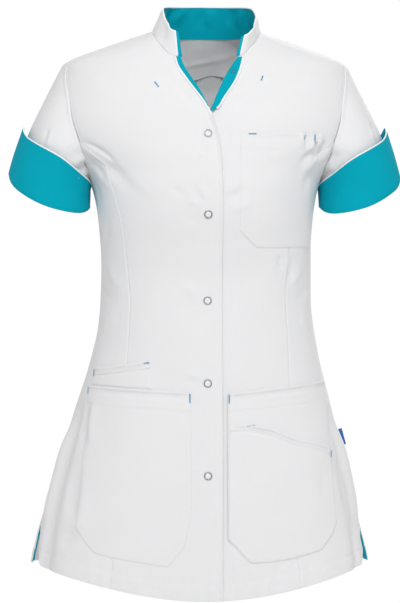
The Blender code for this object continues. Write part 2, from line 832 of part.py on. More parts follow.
def add_snaps():
    for number, drop in enumerate(SNAP_DROPS, 1):
        place, normal = surface_frame(0.0, drop, 0.45)
        add_turned("snap_%d" % number, RING_SNAP, place, normal, STEEL, 0.9)
    drop = 60.0
    x = mix(along(LEFT_EDGE, "fold", drop), along(LEFT_EDGE, "rim", drop), 0.45)
    stand = LAYER + WALL + 1.2 + 0.5
    place, normal = surface_frame(turn_at(x, drop), drop, stand)
    add_turned("collar_snap_socket", STUD, place, normal, TEAL, 0.0, 12)
    x = mix(along(RIGHT_EDGE, "fold", drop), along(RIGHT_EDGE, "rim", drop), 0.3)
    place, normal = surface_frame(turn_at(x, drop), drop, -(WALL + 0.5))
    add_turned("collar_snap_stud", STUD, place, -normal, TEAL, 0.0, 12)


def main():
    for thing in list(bpy.data.objects):
        bpy.data.objects.remove(thing, do_unlink=True)
    home = bpy.data.collections.new("medical_tunic")
    bpy.context.scene.collection.children.link(home)
    make_front(RIGHT, "front_right")
    make_front(LEFT, "front_left")
    make_front_side(RIGHT, "front_right_side")
    make_front_side(LEFT, "front_left_side")
    make_back()
    for side, word in ((RIGHT, "right"), (LEFT, "left")):
        make_sleeve(side, "sleeve_" + word)
        make_cuff(side, "cuff_" + word)
        make_facing(side, "facing_" + word)
        make_slit_facing(side, "slit_facing_" + word)
    make_collar("collar_outer", 0.0, WHITE, 0)
    make_collar("collar_inner", -(WALL + LAYER), TEAL, 1)
    make_back_neck_facing()
    make_pocket("chest_pocket", CHEST_POCKET, 10, CHEST_POCKET_OUT)
    make_pocket("hip_pocket_right", HIP_POCKET_RIGHT, 10, POCKET_OUT)
    make_pocket("hip_pocket_left", HIP_POCKET_LEFT, 10, POCKET_OUT)
    make_pocket("slant_pocket", SLANT_POCKET, 8, 2 * POCKET_OUT)
    make_pocket("phone_pocket", PHONE_POCKET, 2, POCKET_OUT)
    add_label()
    add_snaps()


main()
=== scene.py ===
# Looks of the medical tunic: fine cloth, sewing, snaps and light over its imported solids
import math
from collections import namedtuple

import bpy
import numpy as np
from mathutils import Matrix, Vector


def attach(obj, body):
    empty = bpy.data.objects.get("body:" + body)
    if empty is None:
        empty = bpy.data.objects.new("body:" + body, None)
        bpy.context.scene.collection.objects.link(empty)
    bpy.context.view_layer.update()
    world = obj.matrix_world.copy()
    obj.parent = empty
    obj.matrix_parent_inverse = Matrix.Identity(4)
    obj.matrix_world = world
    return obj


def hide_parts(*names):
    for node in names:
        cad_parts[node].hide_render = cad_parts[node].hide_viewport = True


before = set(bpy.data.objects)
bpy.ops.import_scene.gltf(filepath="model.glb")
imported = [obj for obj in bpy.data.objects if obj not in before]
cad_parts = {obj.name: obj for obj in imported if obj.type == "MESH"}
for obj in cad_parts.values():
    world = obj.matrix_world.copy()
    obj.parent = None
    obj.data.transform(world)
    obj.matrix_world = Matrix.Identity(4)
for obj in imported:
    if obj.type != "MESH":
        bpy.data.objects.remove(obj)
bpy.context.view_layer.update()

# Studio light: name, place, size, power in watts
WORLD_LIGHT = 0.61
LIGHTS = (
    ("key", (-0.35, -2.9, 1.9), (0.7, 0.7), 46.0),
    ("front", (1.3, -3.2, 0.4), (0.8, 0.8), 14.0),
    ("back", (1.2, 3.0, 1.6), (0.8, 0.8), 58.0),
)
STUDIO_RADIUS = 8.0


def short_table(columns, *rows):
    """A short table: the names of its columns, then its rows."""
    Row = namedtuple("Row", columns)
    return [Row(*row) for row in rows]


# Lengths are millimetres: a drop lies below the nape, a reach or x goes sideways, and out or
# lift leads away from the body. Turns are angles, in degrees in tables and radians elsewhere.
MM = 0.001
WALL = 1.5
LAYER = 0.7
CLOTH = 0.9
RIGHT, LEFT = -1, 1
SIDES = ((RIGHT, "right"), (LEFT, "left"))

SHOULDER_TIP_DROP = 41.0
PRINCESS_TOP_DROP = 148.0
ARMPIT_DROP = 197.0
SLIT_DROP = 600.0
HEM_SIDE_DROP = 693.0
HEM_FRONT_DIP = 37.0
HEM_BACK_DIP = 27.0
HEM_DEPTH = 20.0
SLIT_OPENING_TURN = 15.0
SLIT_CORNER_RADIUS = 13.0
RING_FULLNESS = 0.035
ARMHOLE_SWAY = 0.9
PRINCESS_SWAY = 0.6
NECK_GAP = 0.1
SEAM_TURN = 0.0004
SNAP_DROPS = (140.0, 242.5, 351.0, 455.5, 572.0)
LABEL_DROPS = (520.0, 541.0)

# Body rings: half width, sideways shift of both sides, depth of the front and of the back
RINGS = short_table("drop half sway front back",
    (-6, 52, 3.5, 48, 72), (0, 70, 3.5, 56, 75), (20, 129, 3, 70, 87), (41, 181, 2.5, 82, 98),
    (64, 192, 2, 92, 106), (90, 200, 2, 101, 111), (124, 199, 2, 111, 115), (150, 186, 2, 117, 115),
    (170, 168.5, 2, 120, 114), (185, 155.5, 2, 122, 112), (197, 150, 2, 123.5, 111),
    (215, 145, 2.2, 124, 108), (245, 140.5, 2.6, 121, 101), (285, 137.5, 3.4, 111, 93),
    (324, 137, 3.6, 104, 90), (365, 139, 3.4, 104, 93), (402, 144, 3.6, 106, 98),
    (440, 153, 2.2, 108, 104), (481, 165, 1, 110, 110), (520, 176, 0, 112, 113),
    (560, 188, -1.2, 114, 115.5), (600, 198, -2.4, 115.5, 117), (640, 207, -3.8, 117, 118.5),
    (700, 218, -4.2, 119, 120), (740, 224, -4.2, 120, 121))

# Seam where the collar stands on the body, by angle from the centre front
NECK_SEAM = short_table("turn drop",
    (8, 41), (14, 38), (23, 25), (37, 12), (56, 4), (90, 0), (180, -2))

# Armhole edge of the body, front and back alike
ARMHOLE = short_table("drop reach",
    (41, 180.5), (64, 181), (90, 177), (124, 171), (148, 163.5), (165, 159), (180, 154.5),
    (197, 150))

# Princess seam of the front, from the armhole down to the hem
PRINCESS = short_table("drop reach",
    (148, 163.5), (163, 145), (177, 131), (202, 122), (229, 114.5), (252, 109), (310, 102.5),
    (343, 99.5), (378, 100.5), (439, 103), (560, 108), (682, 117), (740, 121))

EDGE_COLUMNS = "drop fold rim"
POCKET_COLUMNS = "top_x top_drop end_x end_drop"

# Front edges: the fold of the neckline and the rim of the facing that is rolled out over it
RIGHT_EDGE = short_table(EDGE_COLUMNS,
    (39, -33.4, -40.3), (54, -27.8, -36), (67, -19.6, -27.8), (80, -11.2, -18.3), (93, -4.2, -8.7),
    (108, 2.4, 0.6), (123, 7.8, 7.8), (136, 12, 12), (152, 15, 15), (173, 17.4, 17.4),
    (224, 18.7, 18.7), (740, 18, 18))
LEFT_EDGE = short_table(EDGE_COLUMNS,
    (39, 40.2, 46.8), (55, 28.9, 42.8), (68, 21.4, 37.5), (80, 15.6, 30.4), (93, 10, 21.6),
    (106, 4.6, 13.3), (116, -4, 0), (130, -13, -13), (150, -18, -18), (740, -19, -19))
EDGES = {RIGHT: RIGHT_EDGE, LEFT: LEFT_EDGE}
NECK_TOP_DROP = 39.0
FACING_TOP_DROP = 41.0
FACING_END_DROPS = {RIGHT: 106.0, LEFT: 111.0}
LAP_START, LAP_END = 22.0, 36.0
LAP_DEPTH = WALL + LAYER

# Top edge of the collar, as steps from the neck seam: across +X, along +Y, and up
COLLAR = short_table("turn across along rise",
    (-346, 6, 3, 26), (-335, 2, 0, 20), (-323, -3, -3, 17), (-300, -5, -1, 20), (-270, -8, 0, 31),
    (-225, -5, -6, 38), (-180, 0, -5, 40), (-135, 7, -6, 38), (-90, 13, 0, 32), (-60, 14, 5, 27),
    (-37, 12, 10, 26), (-25, 8, 8, 29), (-11.7, -3.5, 3, 33))

# Sleeve rings: outermost point, half width, half depth
SLEEVE = short_table("drop reach half depth",
    (41, 181, 51, 40), (44, 186.5, 51, 41), (51, 191, 50, 44), (59, 195, 50, 47), (75, 203, 50, 51),
    (98, 214.5, 50, 57), (122, 226, 50, 62), (150, 237, 50, 64), (183, 247, 49, 63),
    (205, 252, 49.5, 60), (240, 253, 49.5, 57))

# Turned-back cuff: its upper and lower edge, by angle round the sleeve from its inner side
CUFF = short_table("turn top bottom",
    (0, 203, 230), (45, 188, 238), (90, 165, 231), (135, 146, 210), (180, 128, 187),
    (225, 146, 180), (270, 166, 198), (315, 191, 220), (360, 203, 230))
CUFF_STAND_TOP = 7.5
CUFF_STAND_BOTTOM = 6.5
CUFF_STAND_INNER = 1.8
SLEEVE_HEM_LIFT = 2.0
SLEEVE_GAP = -1.4
SLEEVE_TIP_GAP = 0.9
SLEEVE_FADE = 0.1
CUFF_FADE = 45.0

# Pockets: each column runs from its top edge to its lower edge
CHEST_POCKET = short_table(POCKET_COLUMNS,
    (40.6, 139.5, 40.6, 263), (52, 139.5, 51, 274), (63, 139.4, 62, 284), (88, 138.8, 88, 284),
    (113, 138.3, 112, 283), (127, 138, 126, 282), (137, 137.8, 134.5, 281.6))
HIP_POCKET_RIGHT = short_table(POCKET_COLUMNS,
    (-150, 460.7, -166, 640), (-142, 461.1, -156, 657), (-128, 461.8, -143.3, 671.5),
    (-105, 463, -118, 677), (-70, 464.8, -84, 682), (-42, 466.2, -50.4, 687),
    (-29, 466.9, -30, 662), (-21.5, 467.3, -21, 618))
HIP_POCKET_LEFT = short_table(POCKET_COLUMNS,
    (25.4, 468.6, 25.2, 652), (38, 467.4, 38, 667), (52, 466, 53, 683), (81, 463, 81, 682),
    (111, 460, 111, 678), (138, 457.2, 146, 669.5), (149, 456, 162, 649), (155.2, 455.4, 167, 635))
SLANT_POCKET = short_table(POCKET_COLUMNS,
    (26.4, 508, 26.2, 651), (38, 508, 38.5, 665.5), (53, 508, 53.5, 681.8), (81, 514, 81, 680.8),
    (111, 527, 110.8, 676.8), (140, 534, 145.4, 668.4), (153, 539, 161.2, 648.2),
    (159.5, 542.5, 165.9, 634.2))
PHONE_POCKET = short_table(POCKET_COLUMNS,
    (-141.8, 438.6, -146, 460.1), (-118, 435.1, -121, 461.4), (-94, 431.5, -96, 462.6),
    (-71.6, 428.1, -70.4, 463.9))
POCKET_OUT = 1.3
CHEST_POCKET_OUT = 1.5

# Largest folds: a ridge (+) or trough (-) along a line from its first to its last place
FOLDS = short_table("turn end_turn drop end_drop height width",
    (-74, -66, 470, 735, -6, 9), (-83, -80, 500, 640, 4, 8), (72, 66, 480, 735, -5, 9),
    (83, 80, 500, 640, 4, 8), (112, 116, 470, 735, -7, 12), (135, 140, 430, 735, 5, 13),
    (-112, -116, 470, 735, -7, 12), (-135, -140, 430, 735, 5, 13), (160, 163, 400, 735, -4, 12),
    (-160, -163, 400, 735, -4, 12), (-58, -40, 150, 215, -4, 9), (125, 140, 150, 225, -5, 10),
    (-125, -140, 150, 225, -5, 10), (150, 155, 270, 350, 3, 12), (-150, -155, 270, 350, 3, 12))
FOLD_FADE = 45.0

# Soft creases of the front: from one place to another, bowed sideways, a ridge (+) or trough (-)
FRONT_CREASES = short_table("x drop end_x end_drop bow height width",
    (-163, 146, -112, 182, -6, -3, 4.5), (-162, 156, -122, 186, -5, 1.8, 5),
    (-158, 166, -128, 205, -7, -2, 5), (-150, 182, -118, 216, -6, 1.4, 6),
    (-146, 190, -134, 236, -4, -1.2, 6), (120, 134, 122, 158, 2, 2.2, 2.8),
    (126, 133, 126, 160, 2, -2.6, 2.2), (131, 132, 129, 164, -2, 2.8, 2.4),
    (136.5, 133, 132, 166, -2, -3, 2.2), (142, 134, 135, 170, -2, 2.6, 2.8),
    (149, 138, 140, 176, -2, -2.2, 3), (156, 142, 146, 178, -3, 2.4, 3.4),
    (160, 150, 122, 168, 5, -2.4, 4), (154, 160, 112, 178, 7, -3.6, 6),
    (150, 170, 118, 196, 9, 2.4, 6), (146, 180, 122, 214, 6, -2, 7), (118, 160, 84, 172, 5, 0.9, 8),
    (112, 172, 70, 192, 6, -0.8, 9), (-40, 211, -3, 236, 2, 2, 4.5),
    (-52, 206, -10, 228, 2, -1.7, 4.5), (-14, 204, 2, 226, 2, 1.5, 4),
    (-22, 200, -6, 226, 2, -1.2, 4), (-30, 254, -6, 246, -1, -1, 4), (-28, 176, -4, 160, 2, 0.9, 5),
    (22, 228, 50, 205, 2, -1.6, 4.5), (24, 240, 58, 224, 2, 1.4, 5), (22, 216, 40, 198, 2, 1.2, 5),
    (-34, 330, -6, 346, 2, 1, 6), (-40, 366, -6, 354, -2, -0.8, 6), (-30, 440, -5, 450, 2, 1.4, 5),
    (-34, 452, -6, 458, -1, -0.8, 4), (-22, 562, -5, 569, 1, 0.8, 4), (-20, 62, -4, 112, 3, 1.4, 7),
    (-52, 66, -14, 112, -5, -2.7, 9), (52, 60, 26, 112, 4, -2.5, 8), (62, 56, 40, 104, 5, 1.7, 8),
    (20, 118, 24, 176, 2, -2, 5), (-147, 470, -156, 548, 3, -3.1, 5),
    (-140, 474, -148, 540, 3, 2, 6), (-162, 556, -170, 640, 4, -3.7, 6),
    (-170, 640, -186, 668, -2, -2.7, 5), (-153, 590, -162, 660, 3, 2.4, 7),
    (158, 474, 166, 540, -3, -2.9, 5), (166, 545, 182, 632, -3, -3.4, 6),
    (172, 560, 192, 660, -4, 2.4, 7), (148, 552, 150, 612, 2, -1.5, 8),
    (136, 560, 138, 640, 2, 1.2, 9), (-120, 250, -132, 300, 4, -1.7, 7),
    (-128, 300, -100, 338, 5, 1.7, 8), (-134, 330, -104, 352, 4, -1.5, 6),
    (-134, 392, -112, 372, -3, 1.4, 7), (110, 286, 102, 336, -3, -1.7, 5),
    (106, 330, 126, 306, 3, 1.9, 5), (112, 352, 134, 330, 3, -1.7, 6),
    (96, 288, 94, 316, 2, -1.5, 5), (118, 372, 136, 392, -3, 1.4, 7),
    (60, 300, 74, 390, 6, 0.8, 14), (-70, 290, -84, 400, -6, 0.8, 14),
    (-90, 492, -108, 560, 5, 0.8, 12), (-48, 500, -60, 600, -5, -0.8, 12),
    (92, 570, 104, 650, 5, -1, 12), (30, 500, 30, 610, 2, -0.7, 6), (-150, 60, -118, 84, 5, 1, 10),
    (140, 56, 112, 88, -5, 1, 10), (100, 60, 112, 118, 5, -0.8, 12),
    (-100, 66, -118, 124, -5, -0.8, 12), (56, 200, 110, 232, -6, 1, 12),
    (-110, 196, -58, 226, -6, 1, 12))

# Soft creases of the back, by angle from the centre front
BACK_CREASES = short_table("turn drop end_turn end_drop bow height width",
    (112, 210, 138, 262, 4, -2.2, 7), (106, 236, 130, 292, 4, 2, 8),
    (-110, 206, -136, 256, -4, -2.4, 7), (-104, 238, -128, 296, -4, 1.9, 8),
    (98, 318, 132, 342, 5, 2.2, 7), (100, 348, 138, 330, -5, -2, 6), (-98, 322, -134, 340, 5, 2, 7),
    (-102, 350, -140, 334, -5, -2.2, 6), (164, 300, 196, 312, 5, -1.7, 7),
    (160, 326, 200, 322, 5, 1.9, 8), (168, 350, 204, 338, -4, -1.5, 7),
    (172, 470, 176, 640, 6, 2.4, 12), (190, 440, 196, 660, -6, -2.2, 12),
    (120, 500, 124, 680, 5, 2.2, 9), (-122, 480, -127, 680, -5, 2.2, 9),
    (148, 480, 150, 690, 4, -2.4, 10), (-147, 500, -150, 690, -4, -2.4, 10),
    (140, 70, 128, 150, 8, -2, 10), (-140, 72, -127, 148, -8, -2, 10),
    (164, 60, 196, 66, 6, 1.5, 10), (150, 120, 176, 190, 8, 1.2, 14),
    (-150, 130, -172, 200, -8, 1.2, 14))

# Creases of the sleeves, by angle round the sleeve from its inner side
SLEEVE_CREASES = short_table("side turn drop end_turn end_drop bow height width",
    (RIGHT, 122, 128, 116, 152, 2, -1.7, 4), (RIGHT, 112, 132, 108, 156, -2, 1.4, 4),
    (RIGHT, 30, 150, 70, 178, 5, 2.5, 5), (RIGHT, 22, 162, 62, 188, 4, -2.9, 4),
    (RIGHT, 18, 176, 54, 196, 3, 2.5, 3.5), (RIGHT, 40, 188, 44, 202, 1, -2, 2.5),
    (RIGHT, 60, 70, 84, 150, 8, 1.7, 10), (RIGHT, 96, 60, 120, 126, 6, -1.4, 10),
    (RIGHT, 250, 70, 300, 160, 8, -2.5, 9), (RIGHT, 228, 66, 262, 150, 8, 2, 10),
    (RIGHT, 330, 150, 296, 190, -5, 2.4, 6), (LEFT, 146, 118, 140, 140, 2, -1.9, 4),
    (LEFT, 132, 122, 128, 146, -2, 1.5, 4), (LEFT, 24, 140, 70, 168, 6, -1.9, 6),
    (LEFT, 20, 164, 66, 186, 4, 2, 5), (LEFT, 56, 60, 78, 150, 8, 1.7, 10),
    (LEFT, 92, 58, 112, 132, 6, -1.4, 10), (LEFT, 248, 72, 296, 158, 8, -2.4, 9),
    (LEFT, 226, 66, 258, 146, 8, 2, 10), (LEFT, 332, 152, 298, 192, -5, 2.4, 6))

# Thread bars that hold the pocket corners, on the front
BARTACKS = short_table("x drop end_x end_drop out",
    (50.8, 140.9, 61, 140.8, 3.2), (124.2, 137.6, 122.6, 146, 2.5),
    (136.2, 139.4, 134.4, 147.2, 2.5), (71.4, 64.6, 68.9, 71.2, 0.1),
    (-66.9, 72.7, -61.7, 79.9, 0.1), (-148.4, 461.6, -149.2, 470.6, 2),
    (-22.6, 468.4, -22.6, 479.8, 2), (-82.6, 430.9, -72.6, 429.6, 2.8),
    (-140.6, 439.6, -141.8, 448.7, 2), (26.8, 469.6, 26.8, 480.8, 2),
    (48.5, 509.4, 58.8, 508.9, 4.6), (158.6, 544, 158, 552.6, 3.9))


# Reading the tables

def along(table, column, place):
    """Smooth values of a table's column at places given in its first column."""
    first = np.array([row[0] for row in table], float)
    values = np.array([getattr(row, column) for row in table], float)
    place = np.asarray(place, float)
    last = len(table) - 1
    span = np.clip(np.searchsorted(first, place, side="right") - 1, 0, last - 1)
    before, after = np.maximum(np.arange(last + 1) - 1, 0), np.minimum(np.arange(last + 1) + 1, last)
    slopes = (values[after] - values[before]) / (first[after] - first[before])
    length = first[span + 1] - first[span]
    s = (place - first[span]) / length
    return ((2 * s ** 3 - 3 * s ** 2 + 1) * values[span]
            + (s ** 3 - 2 * s ** 2 + s) * slopes[span] * length
            + (3 * s ** 2 - 2 * s ** 3) * values[span + 1]
            + (s ** 3 - s ** 2) * slopes[span + 1] * length)


def mix(start, end, share):
    return start + (end - start) * share


def progress(place, start, end):
    """The share of the way from start to end."""
    return (place - start) / (end - start)


def ease(share):
    share = np.clip(share, 0.0, 1.0)
    return share * share * (3 - 2 * share)


def bell(place, middle, width):
    """A rise of 1 at the middle that fades to both sides."""
    return np.exp(-((place - middle) / width) ** 2)


def matched(*values):
    """Values as arrays of one shape."""
    return np.broadcast_arrays(*[np.asarray(value, float) for value in values])


def vectors(x, y, z):
    return np.stack(matched(x, y, z), axis=-1)


def unit(points):
    return points / np.maximum(np.linalg.norm(points, axis=-1, keepdims=True), 1e-12)


def outward(normals, points):
    """Normals turned to point away from the body's middle line."""
    facing = (normals * points)[..., :2].sum(-1, keepdims=True)
    return np.where(facing < 0, -normals, normals)


# The worn body

def ring_x(turn, drop):
    fuller = 1 + RING_FULLNESS * np.sin(2 * turn) ** 2
    sine = np.sin(turn)
    return along(RINGS, "half", drop) * fuller * sine + along(RINGS, "sway", drop) * sine ** 2


def ring_point(turn, drop):
    """Points on the plain body, before folds, at angles from the centre front."""
    turn, drop = matched(turn, drop)
    front, back = along(RINGS, "front", drop), along(RINGS, "back", drop)
    depth = np.where(np.cos(turn) > 0, front, back)
    fuller = 1 + RING_FULLNESS * np.sin(2 * turn) ** 2
    return vectors(ring_x(turn, drop), -depth * fuller * np.cos(turn), -drop)


def turn_at(x, drop):
    """The angles of front points at given distances from the centre."""
    x, drop = matched(x, drop)
    low, high = np.full(x.shape, -math.pi / 2), np.full(x.shape, math.pi / 2)
    for _ in range(36):
        middle = (low + high) / 2
        less = ring_x(middle, drop) < x
        low, high = np.where(less, middle, low), np.where(less, high, middle)
    return (low + high) / 2


def wrapped(turn):
    """Angles in degrees from -180 to 180."""
    degrees = np.degrees(turn)
    return degrees - 360 * np.round(degrees / 360)


def fold_height(turn, drop):
    """How far the largest folds move the cloth out."""
    degrees = wrapped(turn)
    total = np.zeros(np.shape(degrees))
    for fold in FOLDS:
        share = progress(drop, fold.drop, fold.end_drop)
        off = (degrees - mix(fold.turn, fold.end_turn, share)) / fold.width
        fade = ease((drop - fold.drop) / FOLD_FADE)
        if fold.end_drop < HEM_SIDE_DROP:
            fade = fade * ease((fold.end_drop + 10 - drop) / FOLD_FADE)
        inside = (np.abs(off) < 1) & (drop > fold.drop) & (drop < fold.end_drop + 60)
        total += np.where(inside, fold.height * fade * (1 + np.cos(math.pi * off)) / 2, 0)
    return total


MM_PER_DEGREE = 2.1


def crease_lift(across, down, start, end, bow, height, width):
    """Height of one bowed crease that fades at both ends, steeper on its lower side."""
    line = np.array(end, float) - np.array(start, float)
    length = np.hypot(*line)
    line /= length
    along_line = ((across - start[0]) * line[0] + (down - start[1]) * line[1]) / length
    off = (down - start[1]) * line[0] - (across - start[0]) * line[1]
    off = off - bow * 4 * along_line * (1 - along_line)
    fade = ease(along_line * 2.6) * ease((1 - along_line) * 2.6)
    spread = np.where(off > 0, width * 0.75, width * 1.25)
    return height * fade * bell(off, 0, spread)


def crease_places():
    """The start and end of every crease of the body on a flat map of its cloth."""
    places = []
    drops = np.array([(crease.drop, crease.end_drop) for crease in FRONT_CREASES], float)
    reach = np.array([(crease.x, crease.end_x) for crease in FRONT_CREASES], float)
    across = np.degrees(turn_at(reach, drops)) * MM_PER_DEGREE
    for crease, (start, end), (drop, end_drop) in zip(FRONT_CREASES, across, drops):
        places.append((crease, (start, drop), (end, end_drop)))
    for crease in BACK_CREASES:
        places.append((crease, (crease.turn * MM_PER_DEGREE, crease.drop),
                       (crease.end_turn * MM_PER_DEGREE, crease.end_drop)))
    return places


CREASE_PLACES = crease_places()


def body_creases(turn, drop):
    """Height of all soft creases; those of the back run on past its middle."""
    degrees = wrapped(turn)
    total = np.zeros(np.shape(degrees))
    for crease, start, end in CREASE_PLACES:
        place = degrees
        if start[0] > 200:
            place = np.where(degrees < 0, degrees + 360, degrees)
        total += crease_lift(place * MM_PER_DEGREE, drop, start, end, crease.bow, crease.height,
                             crease.width)
    return total


def undulation(turn, drop):
    """The slight unevenness of worn cloth, and the small puckers along the hem."""
    across = wrapped(turn) * MM_PER_DEGREE
    soft = (np.sin(across / 19 + 1.3 * np.sin(drop / 47)) * np.sin(drop / 33 + across / 71)
            + 0.7 * np.sin(across / 11 + drop / 29 + 2.0) * np.sin(drop / 21 - across / 53))
    rise = hem_drop(turn) - drop
    near_hem = ease((42 - rise) / 16) * ease((rise + 4) / 14)
    pucker = np.sin(across / 1.7 + 1.8 * np.sin(across / 17)) * (0.6 + 0.4 * np.sin(across / 23))
    pucker = pucker + 0.5 * np.sin(across / 4.7 + 0.8)
    return 0.45 * soft + 0.75 * near_hem * pucker


def slit_flare(turn, drop):
    """The back stands out a little beyond the front at the side slits."""
    off = (np.abs(wrapped(turn)) - 96) / 14
    flare = 5 * ease((drop - SLIT_DROP) / 90) * (1 - off * off)
    return np.where((np.abs(off) < 1) & (drop > SLIT_DROP), flare, 0)


def body_normal(turn, drop):
    step_turn, step_drop = 0.004, 1.5
    across = ring_point(turn + step_turn, drop) - ring_point(turn - step_turn, drop)
    down = ring_point(turn, drop + step_drop) - ring_point(turn, drop - step_drop)
    normal = unit(np.cross(down, across))
    return outward(normal, ring_point(turn, drop))


def body(turn, drop, out=0.0, creased=True):
    """Points of the worn body's outer surface, moved out along its normal."""
    turn, drop = matched(turn, drop)
    lift = out + fold_height(turn, drop) + slit_flare(turn, drop)
    if creased:
        lift = lift + body_creases(turn, drop) + undulation(turn, drop)
    return ring_point(turn, drop) + body_normal(turn, drop) * np.asarray(lift)[..., None]


def neck_drop(turn):
    return along(NECK_SEAM, "drop", np.abs(wrapped(turn)))


def hem_dip(turn):
    """How far the hem hangs below its sides: most at the centre front, less at the back."""
    lean = np.cos(turn)
    return np.where(lean > 0, HEM_FRONT_DIP, HEM_BACK_DIP) * np.abs(lean) ** 3


def hem_drop(turn):
    return HEM_SIDE_DROP + hem_dip(turn)


def side_edge_turn(side, drop, back=False):
    """Outer edge of the front or back: shoulder seam, armhole, then side seam or slit."""
    drop = np.asarray(drop, float)
    straight = math.pi / 2 - SEAM_TURN
    turn = np.full(drop.shape, straight)
    if not back:
        opening = math.radians(SLIT_OPENING_TURN) * ease((drop - SLIT_DROP) / 110)
        turn = turn - np.where(drop > SLIT_DROP, opening, 0)
    reach = along(ARMHOLE, "reach", drop) + along(RINGS, "sway", drop) * ARMHOLE_SWAY
    armhole = np.minimum(turn_at(reach, drop), straight)
    turn = np.where((drop > SHOULDER_TIP_DROP) & (drop < ARMPIT_DROP), armhole, turn)
    if back:
        turn = math.pi - turn
    return side * turn


def princess_turn(side, drop):
    reach = along(PRINCESS, "reach", drop)
    return turn_at(side * reach + along(RINGS, "sway", drop) * PRINCESS_SWAY, drop)


def front_edge_turn(side, drop):
    return turn_at(along(EDGES[side], "fold", drop), drop)


LAP_TOP_DROP = 92.0


def lap(side, turn, drop):
    """The left front steps back under the right one behind the snaps."""
    if side == RIGHT:
        return np.zeros(np.shape(turn))
    under = 1 - ease(progress(ring_x(turn, drop), LAP_START, LAP_END))
    return -LAP_DEPTH * under * ease((drop - LAP_TOP_DROP) / 22)


# Materials

class Value:
    """A shader socket that Python arithmetic builds on."""

    def __init__(self, sketch, socket):
        self.sketch, self.socket = sketch, socket

    def math(self, operation, *others):
        return self.sketch.node("Math", {"operation": operation}, *([self] + list(others)))

    def __add__(self, other):
        return self.math("ADD", other)

    def __sub__(self, other):
        return self.math("SUBTRACT", other)

    def __mul__(self, other):
        return self.math("MULTIPLY", other)

    def sine(self):
        return self.math("SINE")

    def part(self, name):
        return Value(self.sketch, self.socket.node.outputs[name])


class Sketch:
    """A material whose nodes are made one by one."""

    def __init__(self, name):
        self.material = bpy.data.materials.new(name)
        self.material.use_nodes = True
        self.tree = self.material.node_tree
        self.shader = self.tree.nodes["Principled BSDF"]

    def connect(self, socket, value):
        if isinstance(value, Value):
            self.tree.links.new(value.socket, socket)
        else:
            socket.default_value = value

    def node(self, kind, settings, *inputs, **named):
        made = self.tree.nodes.new("ShaderNode" + kind)
        for setting, value in settings.items():
            setattr(made, setting, value)
        for socket, value in zip([socket for socket in made.inputs if socket.enabled], inputs):
            self.connect(socket, value)
        for name, value in named.items():
            self.connect(made.inputs[name.replace("_", " ")], value)
        return Value(self, next(output for output in made.outputs if output.enabled))

    def surface(self, **values):
        for name, value in values.items():
            self.connect(self.shader.inputs[name.replace("_", " ")], value)


WEAVE_PITCH = 0.00055


def cloth_material(name, colour, shade, weave=0.5, sheen=0.15, gloss=0.25):
    """Poly-cotton twill: diagonal ribs, slubs and a slightly uneven colour."""
    sketch = Sketch(name)
    place = sketch.node("UVMap", {"uv_map": "cloth"})
    parts = sketch.node("SeparateXYZ", {}, place)
    across, down = parts.part("X"), parts.part("Y")
    rib = ((across + down) * (2 * math.pi / WEAVE_PITCH)).sine()
    thread = ((across - down * 0.7) * (2 * math.pi / WEAVE_PITCH / 1.7)).sine()
    slub = sketch.node("TexNoise", {"noise_dimensions": "3D"}, Vector=place, Scale=900.0,
                       Detail=2.0, Roughness=0.6)
    relief = rib * 0.5 + thread * 0.2 + slub * 0.6
    press = sketch.node("TexNoise", {"noise_dimensions": "3D"}, Vector=place, Scale=60.0,
                        Detail=3.0, Roughness=0.5)
    soft = sketch.node("Bump", {}, Strength=0.35, Distance=0.0006, Height=press)
    fine = sketch.node("Bump", {}, Strength=weave, Distance=0.00006, Height=relief, Normal=soft)
    mottled = sketch.node("Mix", {"data_type": "RGBA"}, slub * 0.5 + press * 0.3,
                          (*colour, 1), (*shade, 1))
    sketch.surface(Base_Color=mottled, Roughness=0.82, Normal=fine, Sheen_Weight=sheen,
                   Sheen_Roughness=0.5, Specular_IOR_Level=gloss)
    sketch.material.diffuse_color = (*colour, 1)
    return sketch.material


def thread_material(name, colour):
    sketch = Sketch(name)
    place = sketch.node("TexCoord", {}).part("Object")
    twist = sketch.node("TexNoise", {}, Vector=place, Scale=3000.0, Detail=1.0)
    bump = sketch.node("Bump", {}, Strength=0.3, Distance=0.00005, Height=twist)
    sketch.surface(Base_Color=(*colour, 1), Roughness=0.55, Normal=bump)
    return sketch.material


def hard_material(name, colour, metallic, roughness, grain_scale, grain_share):
    """Metal or plastic with a faint grain in its shine."""
    sketch = Sketch(name)
    place = sketch.node("TexCoord", {}).part("Object")
    grain = sketch.node("TexNoise", {}, Vector=place, Scale=grain_scale, Detail=2.0)
    sketch.surface(Base_Color=(*colour, 1), Metallic=metallic,
                   Roughness=grain * grain_share + roughness)
    return sketch.material


WHITE_TWILL = cloth_material("white twill", (0.82, 0.82, 0.83), (0.78, 0.78, 0.79))
# The rolled white edges: white cloth like the twill, painted lighter as a highlight
HIGHLIT_RIM_TWILL = cloth_material("rim twill with painted highlight", (0.95, 0.96, 0.96), (0.92, 0.93, 0.94), 0.3)
TEAL_TWILL = cloth_material("turquoise twill", (0.0, 0.39, 0.51), (0.0, 0.35, 0.46), 0.6, 0.0, 0.08)
LABEL_RIBBON = cloth_material("blue ribbon", (0.03, 0.16, 0.42), (0.02, 0.12, 0.36), 0.8, 0.05)
WHITE_THREAD = thread_material("white thread", (0.84, 0.84, 0.85))
BLUE_THREAD = thread_material("blue thread", (0.16, 0.46, 0.68))
RING_METAL = hard_material("snap ring", (0.34, 0.35, 0.37), 1.0, 0.25, 2500.0, 0.15)
SNAP_PLASTIC = hard_material("turquoise snap", (0.0, 0.22, 0.30), 0.0, 0.35, 1500.0, 0.1)


# Making meshes

SHARP_ANGLE = math.radians(48)
RIM_SIDES = 8


def add_object(name, data):
    thing = bpy.data.objects.new(name, data)
    bpy.context.scene.collection.objects.link(thing)
    return thing


